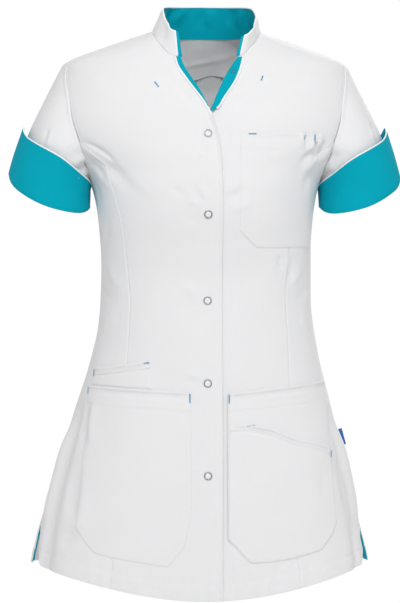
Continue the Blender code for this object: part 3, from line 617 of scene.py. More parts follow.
def new_piece(name, points, faces, material, places=None):
    """A mesh object from points in millimetres, with cloth places in metres as its UV map."""
    mesh = bpy.data.meshes.new(name)
    if isinstance(faces, np.ndarray):
        faces = faces.tolist()
    mesh.from_pydata((np.asarray(points) * MM).tolist(), [], faces)
    mesh.materials.append(material)
    mesh.shade_smooth()
    mesh.set_sharp_from_angle(angle=SHARP_ANGLE)
    if places is not None:
        layer = mesh.uv_layers.new(name="cloth")
        corners = np.zeros(len(mesh.loops), np.int32)
        mesh.loops.foreach_get("vertex_index", corners)
        layer.data.foreach_set("uv", np.asarray(places, np.float32)[corners].ravel())
    return add_object(name, mesh)


def grid_faces(rows, columns, start=0, closed=False, flip=False):
    """Quads of a grid of points, which may close on itself along each row."""
    row, column = np.meshgrid(np.arange(rows - 1), np.arange(columns if closed else columns - 1),
                              indexing="ij")
    after = (column + 1) % columns
    corners = [start + row * columns + column, start + (row + 1) * columns + column,
               start + (row + 1) * columns + after, start + row * columns + after]
    faces = np.stack(corners, -1).reshape(-1, 4)
    return faces[:, ::-1] if flip else faces


def shell(name, outer, inner, material, closed=False):
    """Thin cloth between two grids of points, closed round its edges."""
    rows, columns = outer.shape[:2]
    count = rows * columns
    faces = [grid_faces(rows, columns, 0, closed), grid_faces(rows, columns, count, closed, True)]
    k = np.arange(columns if closed else columns - 1)
    after = (k + 1) % columns
    last = (rows - 1) * columns
    faces.append(np.stack([k, after, after + count, k + count], -1))
    faces.append(np.stack([after + last, k + last, k + last + count, after + last + count], -1))
    if not closed:
        level = np.arange(rows - 1) * columns
        below = level + columns
        faces.append(np.stack([below, level, level + count, below + count], -1))
        end = columns - 1
        faces.append(np.stack([level + end, below + end, below + end + count,
                               level + end + count], -1))
    steps = np.linalg.norm(np.diff(outer, axis=1, prepend=outer[:, :1]), axis=-1)
    falls = np.linalg.norm(np.diff(outer, axis=0, prepend=outer[:1]), axis=-1)
    places = np.stack([np.cumsum(steps, 1), np.cumsum(falls, 0)], -1).reshape(-1, 2) * MM
    points = np.concatenate([outer.reshape(-1, 3), inner.reshape(-1, 3)])
    return new_piece(name, points, np.concatenate(faces), material,
                     np.concatenate([places, places]))


def fit(piece, slot, *nodes):
    """Places a finished piece on the object, in place of its solids."""
    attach(piece, "root")
    if nodes:
        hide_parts(*nodes)
    return piece


def cloth_piece(name, outer, inner, material=WHITE_TWILL, slot="white_cloth", closed=False):
    """Cloth that takes the place of the solid of its name."""
    return fit(shell("cloth_" + name, outer, inner, material, closed), slot, name)


def body_cloth(name, turn, drop, lift, wall=0.0):
    """White cloth on the body, whose inner face stays within the wall of its solid."""
    inner = body(turn, drop, np.minimum(lift, wall) - CLOTH)
    return cloth_piece(name, body(turn, drop, lift), inner)


def edge_shares(count, pull=0.75):
    """Shares from 0 to 1 that lie closer together near both ends."""
    t = np.linspace(0, 1, count + 1)
    return t - pull * np.sin(2 * math.pi * t) / (2 * math.pi)


def edge_distance(points, axis, from_end=False):
    """Distance of every grid point from one edge of the grid, along its row or column."""
    steps = np.linalg.norm(np.diff(points, axis=axis), axis=-1)
    if from_end:
        steps = np.flip(steps, axis)
    total = np.cumsum(steps, axis)
    first = np.zeros_like(np.take(total, [0], axis))
    total = np.concatenate([first, total], axis)
    return np.flip(total, axis) if from_end else total


def edge_distances(turn, drop, out=0.0):
    """Distances from the first and last column and the first and last row of a plain grid."""
    plain = body(turn, drop, out, creased=False)
    return [edge_distance(plain, axis, from_end) for axis in (1, 0) for from_end in (False, True)]


def seam_shape(distance, groove=5.0, fall=0.35):
    """Cloth beside a seam: it dips into the seam and a little under the line of stitches."""
    return (-fall * bell(distance, 0, 1) + 0.12 * bell(distance, 2.6, 1.6)
            - 0.22 * bell(distance, groove, 1.2))


def seam_fade(drop):
    """The princess seams flatten out below the pockets."""
    return 1 - 0.95 * ease((drop - 640) / 40)


def hem_shape(distance, depth=HEM_DEPTH):
    """A turned hem: a little thicker below its line of stitches."""
    return (0.45 * ease((depth + 1 - distance) / 2.0) - 0.5 * bell(distance, depth, 1.2)
            - 0.5 * bell(distance, 0, 1))


# Sewing thread

STITCH_PITCH = 3.0
STITCH_LENGTH = 2.45
STITCH_WIDTH = 0.55
STITCH_HEIGHT = 0.32


def interpolated(points, at, total):
    """Points at lengths along a line, whose own points lie at the total lengths."""
    return np.stack([np.interp(at, total, points[:, k]) for k in range(3)], 1)


def resampled(points, pitch):
    steps = np.linalg.norm(np.diff(points, axis=0), axis=1)
    total = np.concatenate([[0], np.cumsum(steps)])
    count = max(int(total[-1] / pitch), 1)
    at = (np.arange(count) + 0.5) * total[-1] / count
    return interpolated(points, at, total), at, total


def add_stitches(points, normals, pitch=STITCH_PITCH, length=STITCH_LENGTH, width=STITCH_WIDTH,
                 height=STITCH_HEIGHT, crosswise=False):
    """Points and faces of a row of stitches along a line on the cloth."""
    centres, at, total = resampled(points, pitch)
    up = unit(interpolated(normals, at, total))
    ahead = unit(interpolated(points, at + 0.4, total) - interpolated(points, at - 0.4, total))
    aside = unit(np.cross(up, ahead))
    if crosswise:
        ahead, aside = aside, ahead
    corners = []
    for forward, rise in ((-0.5, 0.0), (-0.22, 0.85), (0.22, 0.85), (0.5, 0.0)):
        for sideways, share in ((-0.5, 0.0), (0.0, 1.0), (0.5, 0.0)):
            narrow = 0.55 if rise == 0.0 else 1.0
            corners.append(centres + ahead * forward * length + aside * sideways * width * narrow
                           + up * (height * rise * share - 0.06))
    corners = np.stack(corners, 1)
    pattern = []
    for ring in range(3):
        for k in range(2):
            pattern.append((ring * 3 + k, ring * 3 + k + 1, ring * 3 + k + 4, ring * 3 + k + 3))
    faces = (np.arange(len(centres)) * 12)[:, None, None] + np.array(pattern)[None]
    return corners.reshape(-1, 3), faces.reshape(-1, 4)


def sew(name, rows, material, slot, **shape):
    """One object of thread from several rows, each a line of points with its normals."""
    points, faces, start = [], [], 0
    for line, normals in rows:
        made, quads = add_stitches(line, normals, **shape)
        points.append(made)
        faces.append(quads + start)
        start += len(made)
    piece = new_piece(name, np.concatenate(points), np.concatenate(faces), material)
    return fit(piece, slot)


def body_line(turns, drops, out=0.0):
    """A line on the worn body with its normals."""
    turns, drops = matched(turns, drops)
    return body(turns, drops, out), body_normal(turns, drops)


def front_line(places, out=0.0, step=2.0):
    """A line on the front through places, each a distance from the centre and a drop."""
    places = np.asarray(places, float)
    spans = np.hypot(*np.diff(places, axis=0).T)
    total = np.concatenate([[0], np.cumsum(spans)])
    at = np.linspace(0, total[-1], max(int(total[-1] / step), 2))
    x, drop = np.interp(at, total, places[:, 0]), np.interp(at, total, places[:, 1])
    return body_line(turn_at(x, drop), drop, out)


# Fronts and back

def row_plan(keys, parts):
    """Drops at each row's inner and outer end, cut evenly between key pairs."""
    plan = [np.array([keys[0]], float)]
    for start, end, count in zip(keys, keys[1:], parts):
        share = (np.arange(count) + 1)[:, None] / count
        plan.append(mix(np.array(start, float), np.array(end, float), share))
    return np.concatenate(plan)


SKIRT_ROWS = 210
FRONT_COLUMNS = 62
SIDE_COLUMNS = 36
BACK_COLUMNS = 120


def front_grid(side):
    """Angles and drops of the centre front's points, from the neck seam to the hem."""
    keys = ((NECK_TOP_DROP, 0), (70, SHOULDER_TIP_DROP), (73, 45), (80, 55), (107, 95),
            (PRINCESS_TOP_DROP, PRINCESS_TOP_DROP), (HEM_SIDE_DROP, HEM_SIDE_DROP))
    neck_rows = 15
    plan = row_plan(keys, (neck_rows, 3, 4, 15, 16, SKIRT_ROWS))
    inner_drop, outer_drop = plan[:, :1], plan[:, 1:]
    share = edge_shares(FRONT_COLUMNS)[None]
    inner = front_edge_turn(side, inner_drop)
    outer = np.where(outer_drop < PRINCESS_TOP_DROP, side_edge_turn(side, outer_drop),
                     princess_turn(side, outer_drop) - side * SEAM_TURN)
    turn = mix(inner, outer, share)
    drop = mix(inner_drop, outer_drop, share)
    neck_turn = mix(front_edge_turn(side, NECK_TOP_DROP), side * (math.pi / 2 - 0.0015), share ** 1.5)
    near_neck = np.clip(1 - np.arange(len(plan)) / neck_rows, 0, 1)[:, None] ** 1.5
    turn = mix(turn, neck_turn, near_neck)
    drop = mix(drop, neck_drop(turn) + NECK_GAP, near_neck)
    depth = np.clip(progress(inner_drop, PRINCESS_TOP_DROP, HEM_SIDE_DROP), 0, 1)
    return turn, drop + hem_dip(turn) * depth


def make_front(side, name):
    """A centre front, with its folded edge, princess seam, neck seam and hem."""
    turn, drop = front_grid(side)
    step_back = lap(side, turn, drop)
    from_edge, from_seam, from_neck, from_hem = edge_distances(turn, drop, step_back)
    open_top = bell(drop, 130, 42) * (side == RIGHT)
    edge = ((0.7 + 0.5 * open_top) * bell(from_edge, 1.6, 1.3)
            - 0.6 * bell(from_edge, 0, 0.8) - 0.6 * bell(from_edge, 5.5, 1.6)
            + 1.3 * open_top * bell(from_edge, 0, 6))
    seam = (seam_shape(from_seam) - 0.4 * bell(from_seam, 0, 6)) * seam_fade(drop)
    lift = step_back + edge + seam + seam_shape(from_neck, 30.0, 0.2) + hem_shape(from_hem)
    piece = body_cloth(name, turn, drop, lift, step_back)


def side_grid(side):
    """Angles and drops of the side front's points, from the armhole to the hem and slit."""
    plan = row_plan(((PRINCESS_TOP_DROP, ARMPIT_DROP), (HEM_SIDE_DROP, HEM_SIDE_DROP)), (SKIRT_ROWS,))
    inner_drop, outer_drop = plan[:, :1], plan[:, 1:]
    share = edge_shares(SIDE_COLUMNS)[None]
    drop = mix(inner_drop, outer_drop, share)
    start = princess_turn(side, PRINCESS_TOP_DROP) + side * SEAM_TURN
    armhole = side_edge_turn(side, np.minimum(drop[0], ARMPIT_DROP - 0.1))
    bend = armhole - mix(start, side_edge_turn(side, ARMPIT_DROP), share[0])
    bend[0] = 0
    inner = princess_turn(side, inner_drop) + side * SEAM_TURN
    depth = progress(inner_drop, PRINCESS_TOP_DROP, HEM_SIDE_DROP)
    turn = mix(inner, side_edge_turn(side, outer_drop), share) + bend * np.clip(1 - depth * 6, 0, 1)
    drop = drop + hem_dip(turn) * depth
    away = np.abs(side_edge_turn(side, HEM_SIDE_DROP) - turn) * 150
    inside = np.clip(SLIT_CORNER_RADIUS - away, 0, None)
    rounding = SLIT_CORNER_RADIUS - np.sqrt(np.maximum(SLIT_CORNER_RADIUS ** 2 - inside ** 2, 0))
    return turn, drop - rounding * ease((depth - 0.9) / 0.1)


def make_front_side(side, name):
    """A side front beyond the princess seam."""
    turn, drop = side_grid(side)
    from_seam, from_side, _, from_hem = edge_distances(turn, drop)
    lift = (seam_shape(from_seam, 40.0) * seam_fade(drop) + seam_shape(from_side, 40.0)
            + hem_shape(from_hem))
    piece = body_cloth(name, turn, drop, lift)


def back_grid():
    """Angles and drops of the back's points, from the neck seam to the hem."""
    keys = [(drop, drop) for drop in (0, SHOULDER_TIP_DROP, 45, 55, ARMPIT_DROP, HEM_SIDE_DROP)]
    level = row_plan(keys, (14, 3, 4, 48, 175))[:, :1]
    share = edge_shares(BACK_COLUMNS)[None]
    start = side_edge_turn(LEFT, level, back=True)
    turn = mix(start, 2 * math.pi - start, share)
    near_neck = np.clip(1 - level / SHOULDER_TIP_DROP, 0, 1) ** 1.5
    drop = mix(level, neck_drop(turn) + NECK_GAP, near_neck)
    depth = np.clip(progress(level, ARMPIT_DROP, HEM_SIDE_DROP), 0, 1)
    return turn, drop + hem_dip(turn) * depth


DART_TURN = 152.0
DART_DROPS = (262.0, 430.0)


def dart_shape(turn, drop):
    """The two sewn darts at the back's waist."""
    off = (np.abs(wrapped(turn)) - DART_TURN) * MM_PER_DEGREE
    share = progress(drop, *DART_DROPS)
    fade = ease(share * 4) * ease((1 - share) * 4)
    return fade * (-0.9 * bell(off, 0, 1.2) + 0.35 * bell(off, 3, 2)
                   - 0.5 * bell(off, 0, 9))


def make_back():
    """The back in one piece, with its darts."""
    turn, drop = back_grid()
    from_left, from_right, from_neck, from_hem = edge_distances(turn, drop)
    lift = (seam_shape(from_left, 40.0) + seam_shape(from_right, 40.0)
            + seam_shape(from_neck, 30.0, 0.2) + hem_shape(from_hem) + dart_shape(turn, drop))
    piece = body_cloth("back", turn, drop, lift)


# Sleeves and cuffs

def sleeve_turn(share, drop):
    """Angle round the sleeve's ring, which is open towards the armhole above the armpit."""
    half = along(SLEEVE, "half", drop)
    centre = along(SLEEVE, "reach", drop) - half
    across = np.clip((centre - along(ARMHOLE, "reach", drop)) / half, -1, 1)
    start = np.where(np.asarray(drop) < ARMPIT_DROP, np.arccos(across), 0.0)
    return mix(start, 2 * math.pi - start, share)


def sleeve_oval(side, turn, drop):
    half, depth = along(SLEEVE, "half", drop), along(SLEEVE, "depth", drop)
    reach = along(SLEEVE, "reach", drop) - half * (1 + np.cos(turn))
    return vectors(side * reach + along(RINGS, "sway", drop), -depth * np.sin(turn), -drop)


def sleeve_point(side, share, drop, fade=SLEEVE_FADE):
    """Points of the sleeve, from its front armhole edge round to the back one."""
    share, drop = matched(share, drop)
    point = sleeve_oval(side, sleeve_turn(share, drop), drop)
    for end, nearness in ((0, 1 - share * 2), (1, share * 2 - 1)):
        edge = body(side_edge_turn(side, drop, end == 1), drop)
        from_oval = sleeve_oval(side, sleeve_turn(end, drop), drop)
        joined = ease((ARMPIT_DROP - drop) / fade)
        weight = np.where(nearness > 0, ease(nearness) * nearness, 0) * joined
        point = point + (edge - from_oval) * weight[..., None]
    return point


def sleeve_normal(side, share, drop):
    level = np.maximum(drop, SHOULDER_TIP_DROP + 2.5)
    turn = sleeve_turn(share, level)
    half, depth = along(SLEEVE, "half", level), along(SLEEVE, "depth", level)
    wider = (along(SLEEVE, "reach", level + 12) - along(SLEEVE, "reach", level - 12)) / 24
    deeper = (along(SLEEVE, "depth", level + 12) - along(SLEEVE, "depth", level - 12)) / 24
    flat = unit(vectors(-side * np.cos(turn) / half, -np.sin(turn) / depth, 0 * turn))
    flat[..., 2] = -np.cos(turn) * wider + np.sin(turn) ** 2 * deeper
    return unit(flat)


def sleeve_creases(side, share, drop):
    """Creases of the sleeve, as heights over its plain form."""
    degrees = np.degrees(sleeve_turn(share, drop))
    total = np.zeros(np.shape(degrees))
    for crease in SLEEVE_CREASES:
        if crease.side == side:
            total += crease_lift(degrees, drop, (crease.turn, crease.drop),
                                 (crease.end_turn, crease.end_drop), crease.bow, crease.height,
                                 crease.width)
    soft = np.sin(degrees / 17 + drop / 31) * np.sin(drop / 19 + side)
    return total + 0.2 * soft


def make_sleeve(side, name):
    """Sleeve from the armhole to its hem under the cuff."""
    columns, levels = 120, 90
    share = mix(0.004, 0.996, edge_shares(columns, 0.6))[None]
    depth = ((np.arange(levels + 1) / levels) ** 1.6)[:, None]
    end = along(CUFF, "bottom", share * 360) - SLEEVE_HEM_LIFT
    drop = mix(SHOULDER_TIP_DROP + 1.2, end, depth)
    share = np.broadcast_to(share, drop.shape)
    aside = np.zeros(drop.shape + (3,))
    aside[..., 0] = side * (SLEEVE_GAP * (1 - depth) + SLEEVE_TIP_GAP * (1 - depth) ** 12)
    normal = sleeve_normal(side, share, drop)
    plain = sleeve_point(side, share, drop)
    front, rear = edge_distance(plain, 1), edge_distance(plain, 1, True)
    joined = np.where(drop < ARMPIT_DROP, 1.0, 0.4)
    ridges = 1.3 * bell(front, 1.4, 3) + 1.3 * bell(rear, 1.4, 3)
    lift = (sleeve_creases(side, share, drop) + joined * (seam_shape(front, 60.0)
            + seam_shape(rear, 60.0) + ridges) + seam_shape(edge_distance(plain, 0), 60.0))
    outer = plain + normal * lift[..., None] + aside
    inner = plain + normal * (np.minimum(lift, 0) - CLOTH)[..., None] + aside
    piece = cloth_piece(name, outer, inner)


def cuff_stand(share, height):
    """How far the cuff's inner face stands off the sleeve, most at the outer side."""
    outer_side = ((1 - np.cos(2 * math.pi * share)) / 2) ** 0.4
    return mix(CUFF_STAND_INNER, mix(CUFF_STAND_TOP, CUFF_STAND_BOTTOM, height), outer_side)


def cuff_place(side, share, height, out):
    """Points on the turned-back cuff between its upper (0) and lower (1) edge."""
    share, height = matched(share, height)
    top = along(CUFF, "top", share * 360)
    drop = mix(top, along(CUFF, "bottom", share * 360), height)
    sway = 0.5 * np.sin(share * 31 + side) * np.sin(height * 4 + share * 9)
    curl = 0.9 * (1 - height) ** 6
    lift = cuff_stand(share, height) + sway + curl + out
    start = sleeve_turn(0.0, drop)
    round_sleeve = np.clip((share * 2 * math.pi - start) / (2 * math.pi - 2 * start), 0, 1)
    normal = sleeve_normal(side, round_sleeve, drop)
    return sleeve_point(side, round_sleeve, drop, CUFF_FADE) + normal * lift[..., None], normal


def make_cuff(side, name):
    """A turned-back cuff with its white upper rim."""
    columns, levels = 150, 22
    share = (np.arange(columns) / columns)[None]
    height = (np.arange(levels + 1) / levels)[:, None]
    round_over = 1.3 * (np.sqrt(np.maximum(1 - ((height - 0.955) / 0.045).clip(0, 1) ** 2, 0)) - 1)
    outer = cuff_place(side, share, height, WALL + round_over)[0]
    inner = cuff_place(side, share, height, np.minimum(round_over * 0.2, 0))[0]
    piece = cloth_piece(name, outer, inner, TEAL_TWILL, "teal_cloth", closed=True)
    rim, normal = cuff_place(side, share[0], 0.0, 1.0)
    tube("cuff_rim_" + name[5:], rim, normal, 1.8, 1.8, closed=True)


def tube(name, path, normals, width, height, closed=False):
    """A slim rolled edge along a path, in white cloth painted lighter as a highlight."""
    ahead = np.roll(path, -1, 0) - np.roll(path, 1, 0)
    if not closed:
        ahead[0], ahead[-1] = path[1] - path[0], path[-1] - path[-2]
    aside = unit(np.cross(normals, unit(ahead)))
    angle = (np.arange(RIM_SIDES) * 2 * math.pi / RIM_SIDES)[None, :, None]
    rings = (path[:, None] + aside[:, None] * np.cos(angle) * width / 2
             + normals[:, None] * np.sin(angle) * height / 2)
    rows = len(path)
    points = rings.reshape(-1, 3)
    if closed:
        points = np.concatenate([points, rings[0]])
        rows += 1
    faces = grid_faces(rows, RIM_SIDES, 0, closed=True)
    last = list(range(len(points) - RIM_SIDES, len(points)))
    caps = [] if closed else [list(range(RIM_SIDES)), last[::-1]]
    places = np.stack([np.tile(np.arange(RIM_SIDES) * 0.0006, rows),
                       np.repeat(np.arange(rows) * 0.002, RIM_SIDES)], 1)
    fit(new_piece(name, points, faces.tolist() + caps, HIGHLIT_RIM_TWILL, places), "white_cloth")


# Collar and neckline

def collar_point(degrees, height):
    """Points of the stand collar between the neck seam and its top edge."""
    degrees, height = matched(degrees, height)
    turn = np.radians(degrees)
    base = body(turn, neck_drop(turn), creased=False)
    rise = vectors(along(COLLAR, "across", degrees), along(COLLAR, "along", degrees),
                   along(COLLAR, "rise", degrees))
    return base + np.array([0, 0, 0.1]) + rise * height[..., None]


def collar_normal(degrees, height):
    across = collar_point(degrees + 1.5, height) - collar_point(degrees - 1.5, height)
    up = collar_point(degrees, height + 0.05) - collar_point(degrees, height - 0.05)
    normal = unit(np.cross(across, up))
    return outward(normal, collar_point(degrees, height))


COLLAR_HEIGHT = 38.0
COLLAR_CREASES = short_table("turn height end_turn end_height bow lift width",
    (-238, 0.95, -228, 0.25, 2, -2.9, 4), (-226, 1, -214, 0.35, 2, 2.2, 5),
    (-200, 0.95, -188, 0.3, 3, -2.6, 5), (-186, 0.9, -176, 0.25, 2, 1.8, 6),
    (-164, 0.95, -140, 0.4, 4, -2.6, 6), (-146, 1, -128, 0.5, 3, 2.1, 6),
    (-120, 0.9, -112, 0.2, 3, -2.2, 5), (-262, 0.9, -254, 0.2, 3, -2.2, 5),
    (-64, 0.9, -50, 0.1, 3, -1.4, 5), (-306, 0.9, -296, 0.1, 3, -1.4, 5))


def collar_waves(degrees, height):
    """Creases of the collar, as heights over its plain form."""
    total = 0.25 * np.sin(degrees / 13) * np.sin(height * 3 + degrees / 29)
    for crease in COLLAR_CREASES:
        start = (crease.turn, crease.height * COLLAR_HEIGHT)
        end = (crease.end_turn, crease.end_height * COLLAR_HEIGHT)
        total = total + crease_lift(degrees, height * COLLAR_HEIGHT, start, end, crease.bow,
                                    crease.lift, crease.width)
    return total


def make_collar(name, out, material, slot, past, below):
    """One layer of the stand collar, from its left front end round the back to the right."""
    columns, levels = 190, 18
    degrees = mix(COLLAR[0].turn - past, COLLAR[-1].turn + past, edge_shares(columns, 0.5))[None]
    at_back = ease((80 - np.abs(degrees + 180)) / 20)
    height = mix(0.99, -below * at_back, (np.arange(levels + 1) / levels)[:, None])
    degrees, height = matched(degrees, height)
    waves = collar_waves(degrees, height)
    point, normal = collar_point(degrees, height), collar_normal(degrees, height)
    edge = -0.4 * bell(edge_distance(point, 0), 0, 0.9)
    outer = point + normal * (out + waves + edge)[..., None]
    inner = point + normal * (out + waves - CLOTH)[..., None]
    piece = cloth_piece(name, outer, inner, material, slot)


def make_collar_rim():
    """The white outer layer rolled over the collar's front ends and top edge."""
    height = np.linspace(0.04, 0.985, 16)
    degrees = mix(COLLAR[0].turn, COLLAR[-1].turn, edge_shares(150, 0.5))
    place = np.concatenate([
        np.stack([np.full(16, COLLAR[0].turn + 0.3), height], 1),
        np.stack([degrees[1:-1], np.full(149, 0.995)], 1),
        np.stack([np.full(16, COLLAR[-1].turn - 0.3), height[::-1]], 1)])
    normal = collar_normal(place[:, 0], place[:, 1])
    waves = collar_waves(place[:, 0], place[:, 1])
    path = collar_point(place[:, 0], place[:, 1]) + normal * (waves - 1.0)[:, None]
    tube("collar_rim", path, normal, 2.4, 2.4)


def facing_place(side, drop, share, out):
    """Points of the neckline between its fold (0) and rim (1), with their normals."""
    edge = EDGES[side]
    x = mix(along(edge, "fold", drop) + side * 0.3, along(edge, "rim", drop), share)
    turn = turn_at(x, drop)
    return body(turn, drop, out), body_normal(turn, drop)


def make_facing(side, name):
    """Coloured facing of the neckline, rolled out over the front between fold and rim."""
    levels, columns = 60, 18
    end_drop = FACING_END_DROPS[side]
    drop = mix(FACING_TOP_DROP, end_drop, np.arange(levels + 1) / levels)[:, None]
    share = (np.arange(columns + 1) / columns)[None]
    wave = 0.3 * np.sin(drop / 5.5 + side) * share
    stand = 0.5 + 1.9 * np.sqrt(np.maximum(1 - (2 * share - 1) ** 2, 0)) ** 0.7 + wave
    outer, _ = facing_place(side, drop, share, stand)
    inner, _ = facing_place(side, drop, share, stand - CLOTH)
    piece = cloth_piece(name, outer, inner, TEAL_TWILL, "teal_cloth")
    level = mix(FACING_TOP_DROP, end_drop + (10 if side == RIGHT else -3), np.linspace(0, 1, 60))
    path, normal = facing_place(side, level, 1.0, 1.15)
    tube("neck_rim_" + name[7:], path, normal, 2.8, 2.3)


def make_back_neck_facing():
    """White facing inside the back, below the collar, with its slack lower edge."""
    columns, levels = 90, 40
    turn = np.radians(mix(112, 248, np.arange(columns + 1) / columns))[None]
    share = (np.arange(levels + 1) / levels)[:, None]
    degrees = np.degrees(turn)
    end = mix(9, 52, np.abs(np.cos(turn)) ** 2) + 1.6 * np.sin(degrees / 4.1) * np.sin(degrees / 9)
    end = end - 5 * bell(degrees, 174, 6)
    drop = mix(neck_drop(turn) + 1.5, end, share)
    slack = share ** 2 * (1.4 + 1.5 * np.sin(degrees / 3.7 + 0.6) + 0.8 * np.sin(degrees / 1.9))
    wrinkle = 0.9 * bell(drop - (degrees - 180) * 0.5, 30, 3.5) * bell(degrees, 176, 14)
    lift = -(CLOTH + 0.5) - np.maximum(slack, 0) - wrinkle * 1.5
    outer = body(turn, drop, lift, creased=False)
    inner = body(turn, drop, lift - CLOTH, creased=False)
    piece = cloth_piece("back_neck_facing", outer, inner)


# Pockets

def pocket_grid(table, columns, levels):
    """Distances from the centre and drops of a pocket's points."""
    at = edge_shares(columns) * (len(table) - 1)
    places = {field: np.interp(at, np.arange(len(table)), [getattr(row, field) for row in table])
              for field in POCKET_COLUMNS.split()}
    height = edge_shares(levels)[:, None]
    x = mix(places["top_x"], places["end_x"], height)
    return x, mix(places["top_drop"], places["end_drop"], height)


def make_pocket(name, table, columns, levels, out, gape=0.0, band=24.0, flat_to=0.0):
    """A patch pocket laid on the front, pressed down along its stitched edges."""
    x, drop = pocket_grid(table, columns, levels)
    turn = turn_at(x, drop)
    left, right, top, end = edge_distances(turn, drop, out)
    sewn = np.minimum(np.minimum(left, right), end)
    press = -1.05 * bell(sewn, 0, 1.4) - 0.2 * bell(sewn, 2.6, 0.9)
    middle = ease((np.minimum(left, right) - flat_to) / 12)
    hem = 0.3 * ease((band + 1 - top) / 2) - 0.45 * bell(top, band, 1.2)
    wave = 1 + 0.35 * np.sin(left / 9.0 + out) * np.sin(left / 23.0)
    rolled = gape * wave * (bell(top, 1.2, 1.8) + 0.5 * bell(top, 0, 9)
                            - 0.35 * bell(top, 7.5, 3))
    lift = out + press + hem + middle * (rolled + 0.5 * ease(end / 50))
    piece = body_cloth(name, turn, drop, lift, out)


def pocket_outline(table, inset):
    """Line of stitches round a pocket's sides and lower edge."""
    x, drop = pocket_grid(table, 60, 40)
    line = np.concatenate([np.stack([x[:, 0], drop[:, 0]], 1), np.stack([x[-1], drop[-1]], 1)[1:],
                           np.stack([x[:, -1], drop[:, -1]], 1)[::-1][1:]])
    step = np.gradient(line, axis=0)
    step /= np.maximum(np.hypot(step[:, 0], step[:, 1]), 1e-9)[:, None]
    inward = np.stack([step[:, 1], -step[:, 0]], 1)
    centre = line.mean(0)
    inward *= np.sign(((centre - line) * inward).sum(1).mean())
    return line + inward * inset


# Slit facings and label

def make_slit_facing(side, name):
    """Coloured facing on the inside of the back along a side slit."""
    level = np.linspace(SLIT_DROP - 20, HEM_SIDE_DROP, 60)[:, None]
    start = side_edge_turn(LEFT, level, back=True)
    turn = start + 0.004 + np.linspace(0, 0.16, 14)[None]
    depth = progress(level, ARMPIT_DROP, HEM_SIDE_DROP)
    drop = level + hem_dip(turn) * depth - 0.5
    outer = body(side * turn, drop, -(CLOTH + 0.3))
    inner = body(side * turn, drop, -(CLOTH + 0.3) - CLOTH)
    piece = cloth_piece(name, outer, inner, TEAL_TWILL, "teal_cloth")


def make_label():
    """A blank ribbon folded into the left side seam."""
    top, end = ring_point(math.pi / 2, LABEL_DROPS[0]), ring_point(math.pi / 2, LABEL_DROPS[1])
    down = end - top
    away = unit(np.array([-down[2], 0, down[0]]))
    angles = np.linspace(-math.pi / 2, math.pi / 2, 25)
    loop = [(5.6 + 0.9 * math.cos(angle), 0.75 * math.sin(angle)) for angle in angles]
    profile = [(-0.5, -0.55)] + loop + [(-0.5, 0.55)]
    share = np.linspace(0, 1, 16)[:, None]
    outs, sides = np.array(profile).T[:, None, :, None]
    outer = top + down * share[..., None] + away * outs + np.array([0, 1, 0]) * sides
    inner = (top + down * share[..., None] + away * outs * 0.93
             + np.array([0, 1, 0]) * sides * 0.55)
    piece = cloth_piece("side_label", outer, inner, LABEL_RIBBON, "blue_label")


# Building everything

for side, word in SIDES:
    make_front(side, "front_" + word)
    make_front_side(side, "front_%s_side" % word)
    make_sleeve(side, "sleeve_" + word)
    make_cuff(side, "cuff_" + word)
    make_facing(side, "facing_" + word)
make_back()
make_collar("collar_outer", 0.0, WHITE_TWILL, "white_cloth", 0.0, 0.0)
make_collar("collar_inner", -1.2, TEAL_TWILL, "teal_cloth", 1.7, 0.07)
make_collar_rim()
make_back_neck_facing()
make_pocket("chest_pocket", CHEST_POCKET, 60, 64, CHEST_POCKET_OUT, 0.6, 22.0)
make_pocket("hip_pocket_right", HIP_POCKET_RIGHT, 66, 96, POCKET_OUT, 1.7)
make_pocket("hip_pocket_left", HIP_POCKET_LEFT, 66, 96, POCKET_OUT, 1.5)
make_pocket("slant_pocket", SLANT_POCKET, 66, 80, 2 * POCKET_OUT, 1.5, 8.0, 4.0)
make_pocket("phone_pocket", PHONE_POCKET, 44, 26, POCKET_OUT - 0.3, 1.2, 9.0)
for side, word in SIDES:
    make_slit_facing(side, "slit_facing_" + word)
make_label()


# Snaps

def turned(name, profile, place, normal, material, slot, *nodes):
    """A small turned piece from a profile of radius and height."""
    steps = 48
    profile = np.array(profile)
    first = unit(np.cross(normal, [0.0, 0.0, 1.0]))
    second = np.cross(normal, first)
    angle = (np.arange(steps) * 2 * math.pi / steps)[None, :, None]
    ring = first * np.cos(angle) + second * np.sin(angle)
    points = place + ring * profile[:, :1, None] + normal * profile[:, 1:, None]
    faces = grid_faces(len(profile), steps, 0, closed=True)
    piece = new_piece(name, points.reshape(-1, 3), faces, material)
    return fit(piece, slot, *nodes)


def rounded_ring(middle, radius, height, count=14):
    angle = np.linspace(0, 2 * math.pi, count + 1)
    return [(middle + radius * math.cos(a), height + radius * 0.8 * math.sin(a)) for a in angle]


# Profiles of the snaps, each as radius and height, from the middle out
CROWN = ((0.001, 0.6), (1.0, 0.58), (2.0, 0.5), (3.2, 0.25), (3.9, -0.2))
DOT = ((0.001, 0.85), (0.4, 0.8), (0.55, 0.45))
STUD = ((0.001, 2.4), (1.0, 2.3), (1.5, 1.9), (1.7, 1.15), (2.3, 1.0), (2.8, 0.6), (2.9, -0.1))
SOCKET = ((0.001, 0.5), (1.2, 0.6), (1.5, 1.1), (2.4, 1.1), (3.0, 0.7), (3.1, -0.1))
TOP_SNAP_DROP = 60.0

for number, drop in enumerate(SNAP_DROPS, 1):
    point, normal = body(0.0, drop, 0.25), body_normal(0.0, drop)
    turned("ring_snap_%d" % number, rounded_ring(4.55, 0.72, 0.35), point, normal, RING_METAL,
           "ring_steel", "snap_%d" % number)
    turned("snap_cloth_%d" % number, CROWN, point, normal, WHITE_THREAD, "white_cloth")
    turned("snap_dot_%d" % number, DOT, point, normal, RING_METAL, "ring_steel")


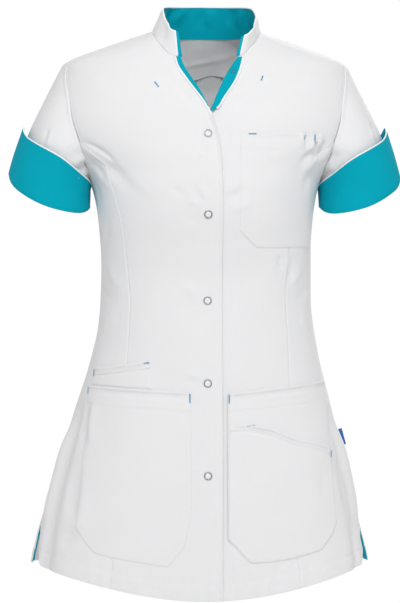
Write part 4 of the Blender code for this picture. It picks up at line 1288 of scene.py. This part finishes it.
def half_snap(name, profile, edge, share, lift):
    """One half of the open top snap, on the facing between its fold and rim."""
    x = mix(along(edge, "fold", TOP_SNAP_DROP), along(edge, "rim", TOP_SNAP_DROP), share)
    turn = turn_at(x, TOP_SNAP_DROP)
    facing = body_normal(turn, TOP_SNAP_DROP) * np.sign(lift)
    turned(name, profile, body(turn, TOP_SNAP_DROP, lift), facing, SNAP_PLASTIC, "teal_snap",
           "collar_snap_" + name)


half_snap("socket", SOCKET, LEFT_EDGE, 0.45, 2.4)
half_snap("stud", STUD, RIGHT_EDGE, 0.3, -1.4)


# Sewing

def seam_rows():
    """Lines of stitches on the body's panels."""
    rows = []
    for side, _ in SIDES:
        level = np.linspace(PRINCESS_TOP_DROP + 4, HEM_SIDE_DROP + 12, 320)
        seam = ring_x(princess_turn(side, level), level) - side * 5.0
        rows.append(body_line(turn_at(seam, level), level, -0.1))
        hem = np.linspace(front_edge_turn(side, HEM_SIDE_DROP), side * 1.38, 240)
        level = hem_drop(hem) - HEM_DEPTH
        rows.append(body_line(hem, level, lap(side, hem, level)))
        armhole = np.linspace(SHOULDER_TIP_DROP + 3, ARMPIT_DROP - 8, 120)
        for back in (False, True):
            edge = side_edge_turn(side, armhole, back)
            rows.append(body_line(edge - (side if not back else -side) * 0.03, armhole, 0.0))
    edge = np.linspace(112, HEM_SIDE_DROP + 34, 400)
    rows.append(body_line(turn_at(along(RIGHT_EDGE, "fold", edge) - 2.2, edge), edge, -0.15))
    hem = np.linspace(1.66, 2 * math.pi - 1.66, 420)
    rows.append(body_line(hem, hem_drop(hem) - HEM_DEPTH, 0.0))
    return rows


def pocket_rows():
    """Lines of stitches round each pocket and below its upper edge."""
    rows = []
    for plan, out, top in ((CHEST_POCKET, CHEST_POCKET_OUT, 22), (HIP_POCKET_RIGHT, POCKET_OUT, 23),
                           (HIP_POCKET_LEFT, POCKET_OUT, 23), (SLANT_POCKET, 2 * POCKET_OUT, 3),
                           (PHONE_POCKET, POCKET_OUT, 3)):
        rows.append(front_line(pocket_outline(plan, 2.2), out - 0.2))
        banded = top > 9
        mouth = [(mix(row.top_x, row.end_x, 0.1 if banded else 0.0), row.top_drop + top)
                 for row in plan]
        if banded:
            rows.append(front_line(mouth, out))
        else:
            for below in (0, 5):
                rows.append(front_line([(x, drop + below) for x, drop in mouth], out + 0.2))
    return rows


sew("stitches_seams", seam_rows(), WHITE_THREAD, "white_cloth")
sew("stitches_pockets", pocket_rows(), WHITE_THREAD, "white_cloth")
bars = []
for tack in BARTACKS:
    bars.append(front_line([(tack.x, tack.drop), (tack.end_x, tack.end_drop)], tack.out + 0.25, 1.0))
sew("bartacks", bars, BLUE_THREAD, "white_cloth", pitch=0.5, length=1.7, width=0.55, height=0.6,
    crosswise=True)


# Light, floor and camera

AIM = (0.0, 0.0, -0.352)
FLOOR_Z = -1.42
FLOOR_HALF = 2.6


def soft_light(name, place, size, power):
    light = bpy.data.lights.new(name, "AREA")
    light.shape = "RECTANGLE"
    light.size, light.size_y = size
    light.energy = power
    lamp = add_object(name, light)
    lamp.location = place
    lamp.rotation_euler = (Vector(AIM) - Vector(place)).to_track_quat("-Z", "Y").to_euler()


def stage_piece(name, material, **looks):
    """Names the mesh that was just added, colours it and keeps it apart from the object."""
    piece = bpy.context.object
    piece.name = name
    sketch = Sketch(material)
    sketch.surface(**looks)
    piece.data.materials.append(sketch.material)
    return piece


bpy.ops.mesh.primitive_plane_add(size=2 * FLOOR_HALF, location=(0, 0, FLOOR_Z))
stage_piece("floor", "floor", Base_Color=(0.8, 0.8, 0.8, 1), Roughness=0.9)
bpy.context.scene.view_settings.view_transform = "Standard"

# A bright room round the object, which the camera sees but which doesn't light it
bpy.ops.mesh.primitive_uv_sphere_add(segments=48, ring_count=24, radius=STUDIO_RADIUS)
room = stage_piece("studio", "studio white", Base_Color=(0, 0, 0, 1), Roughness=1.0,
                   Emission_Color=(1, 1, 1, 1), Emission_Strength=1.0)
room.visible_diffuse = room.visible_glossy = room.visible_shadow = False

world = bpy.data.worlds.new("studio")
world.use_nodes = True
background = world.node_tree.nodes["Background"].inputs
background["Color"].default_value = (1, 1, 1, 1)
background["Strength"].default_value = WORLD_LIGHT
bpy.context.scene.world = world
for name, place, size, power in LIGHTS:
    soft_light(name, place, size, power)

# The photo's view: level with the middle, from a little to the wearer's right
YAW = math.radians(3.0)
CAMERA_DISTANCE = 3.0
CAMERA_LENS = 91.15
SIDE_STEP = -0.0042
camera_data = bpy.data.cameras.new("camera")
camera_data.sensor_fit = "VERTICAL"
camera_data.sensor_height = 24
camera_data.lens = CAMERA_LENS
camera = add_object("camera", camera_data)
camera.location = (-CAMERA_DISTANCE * math.sin(YAW) + SIDE_STEP * math.cos(YAW),
                   -CAMERA_DISTANCE * math.cos(YAW) - SIDE_STEP * math.sin(YAW), AIM[2])
camera.rotation_euler = (math.pi / 2, 0, -YAW)
bpy.context.scene.camera = camera
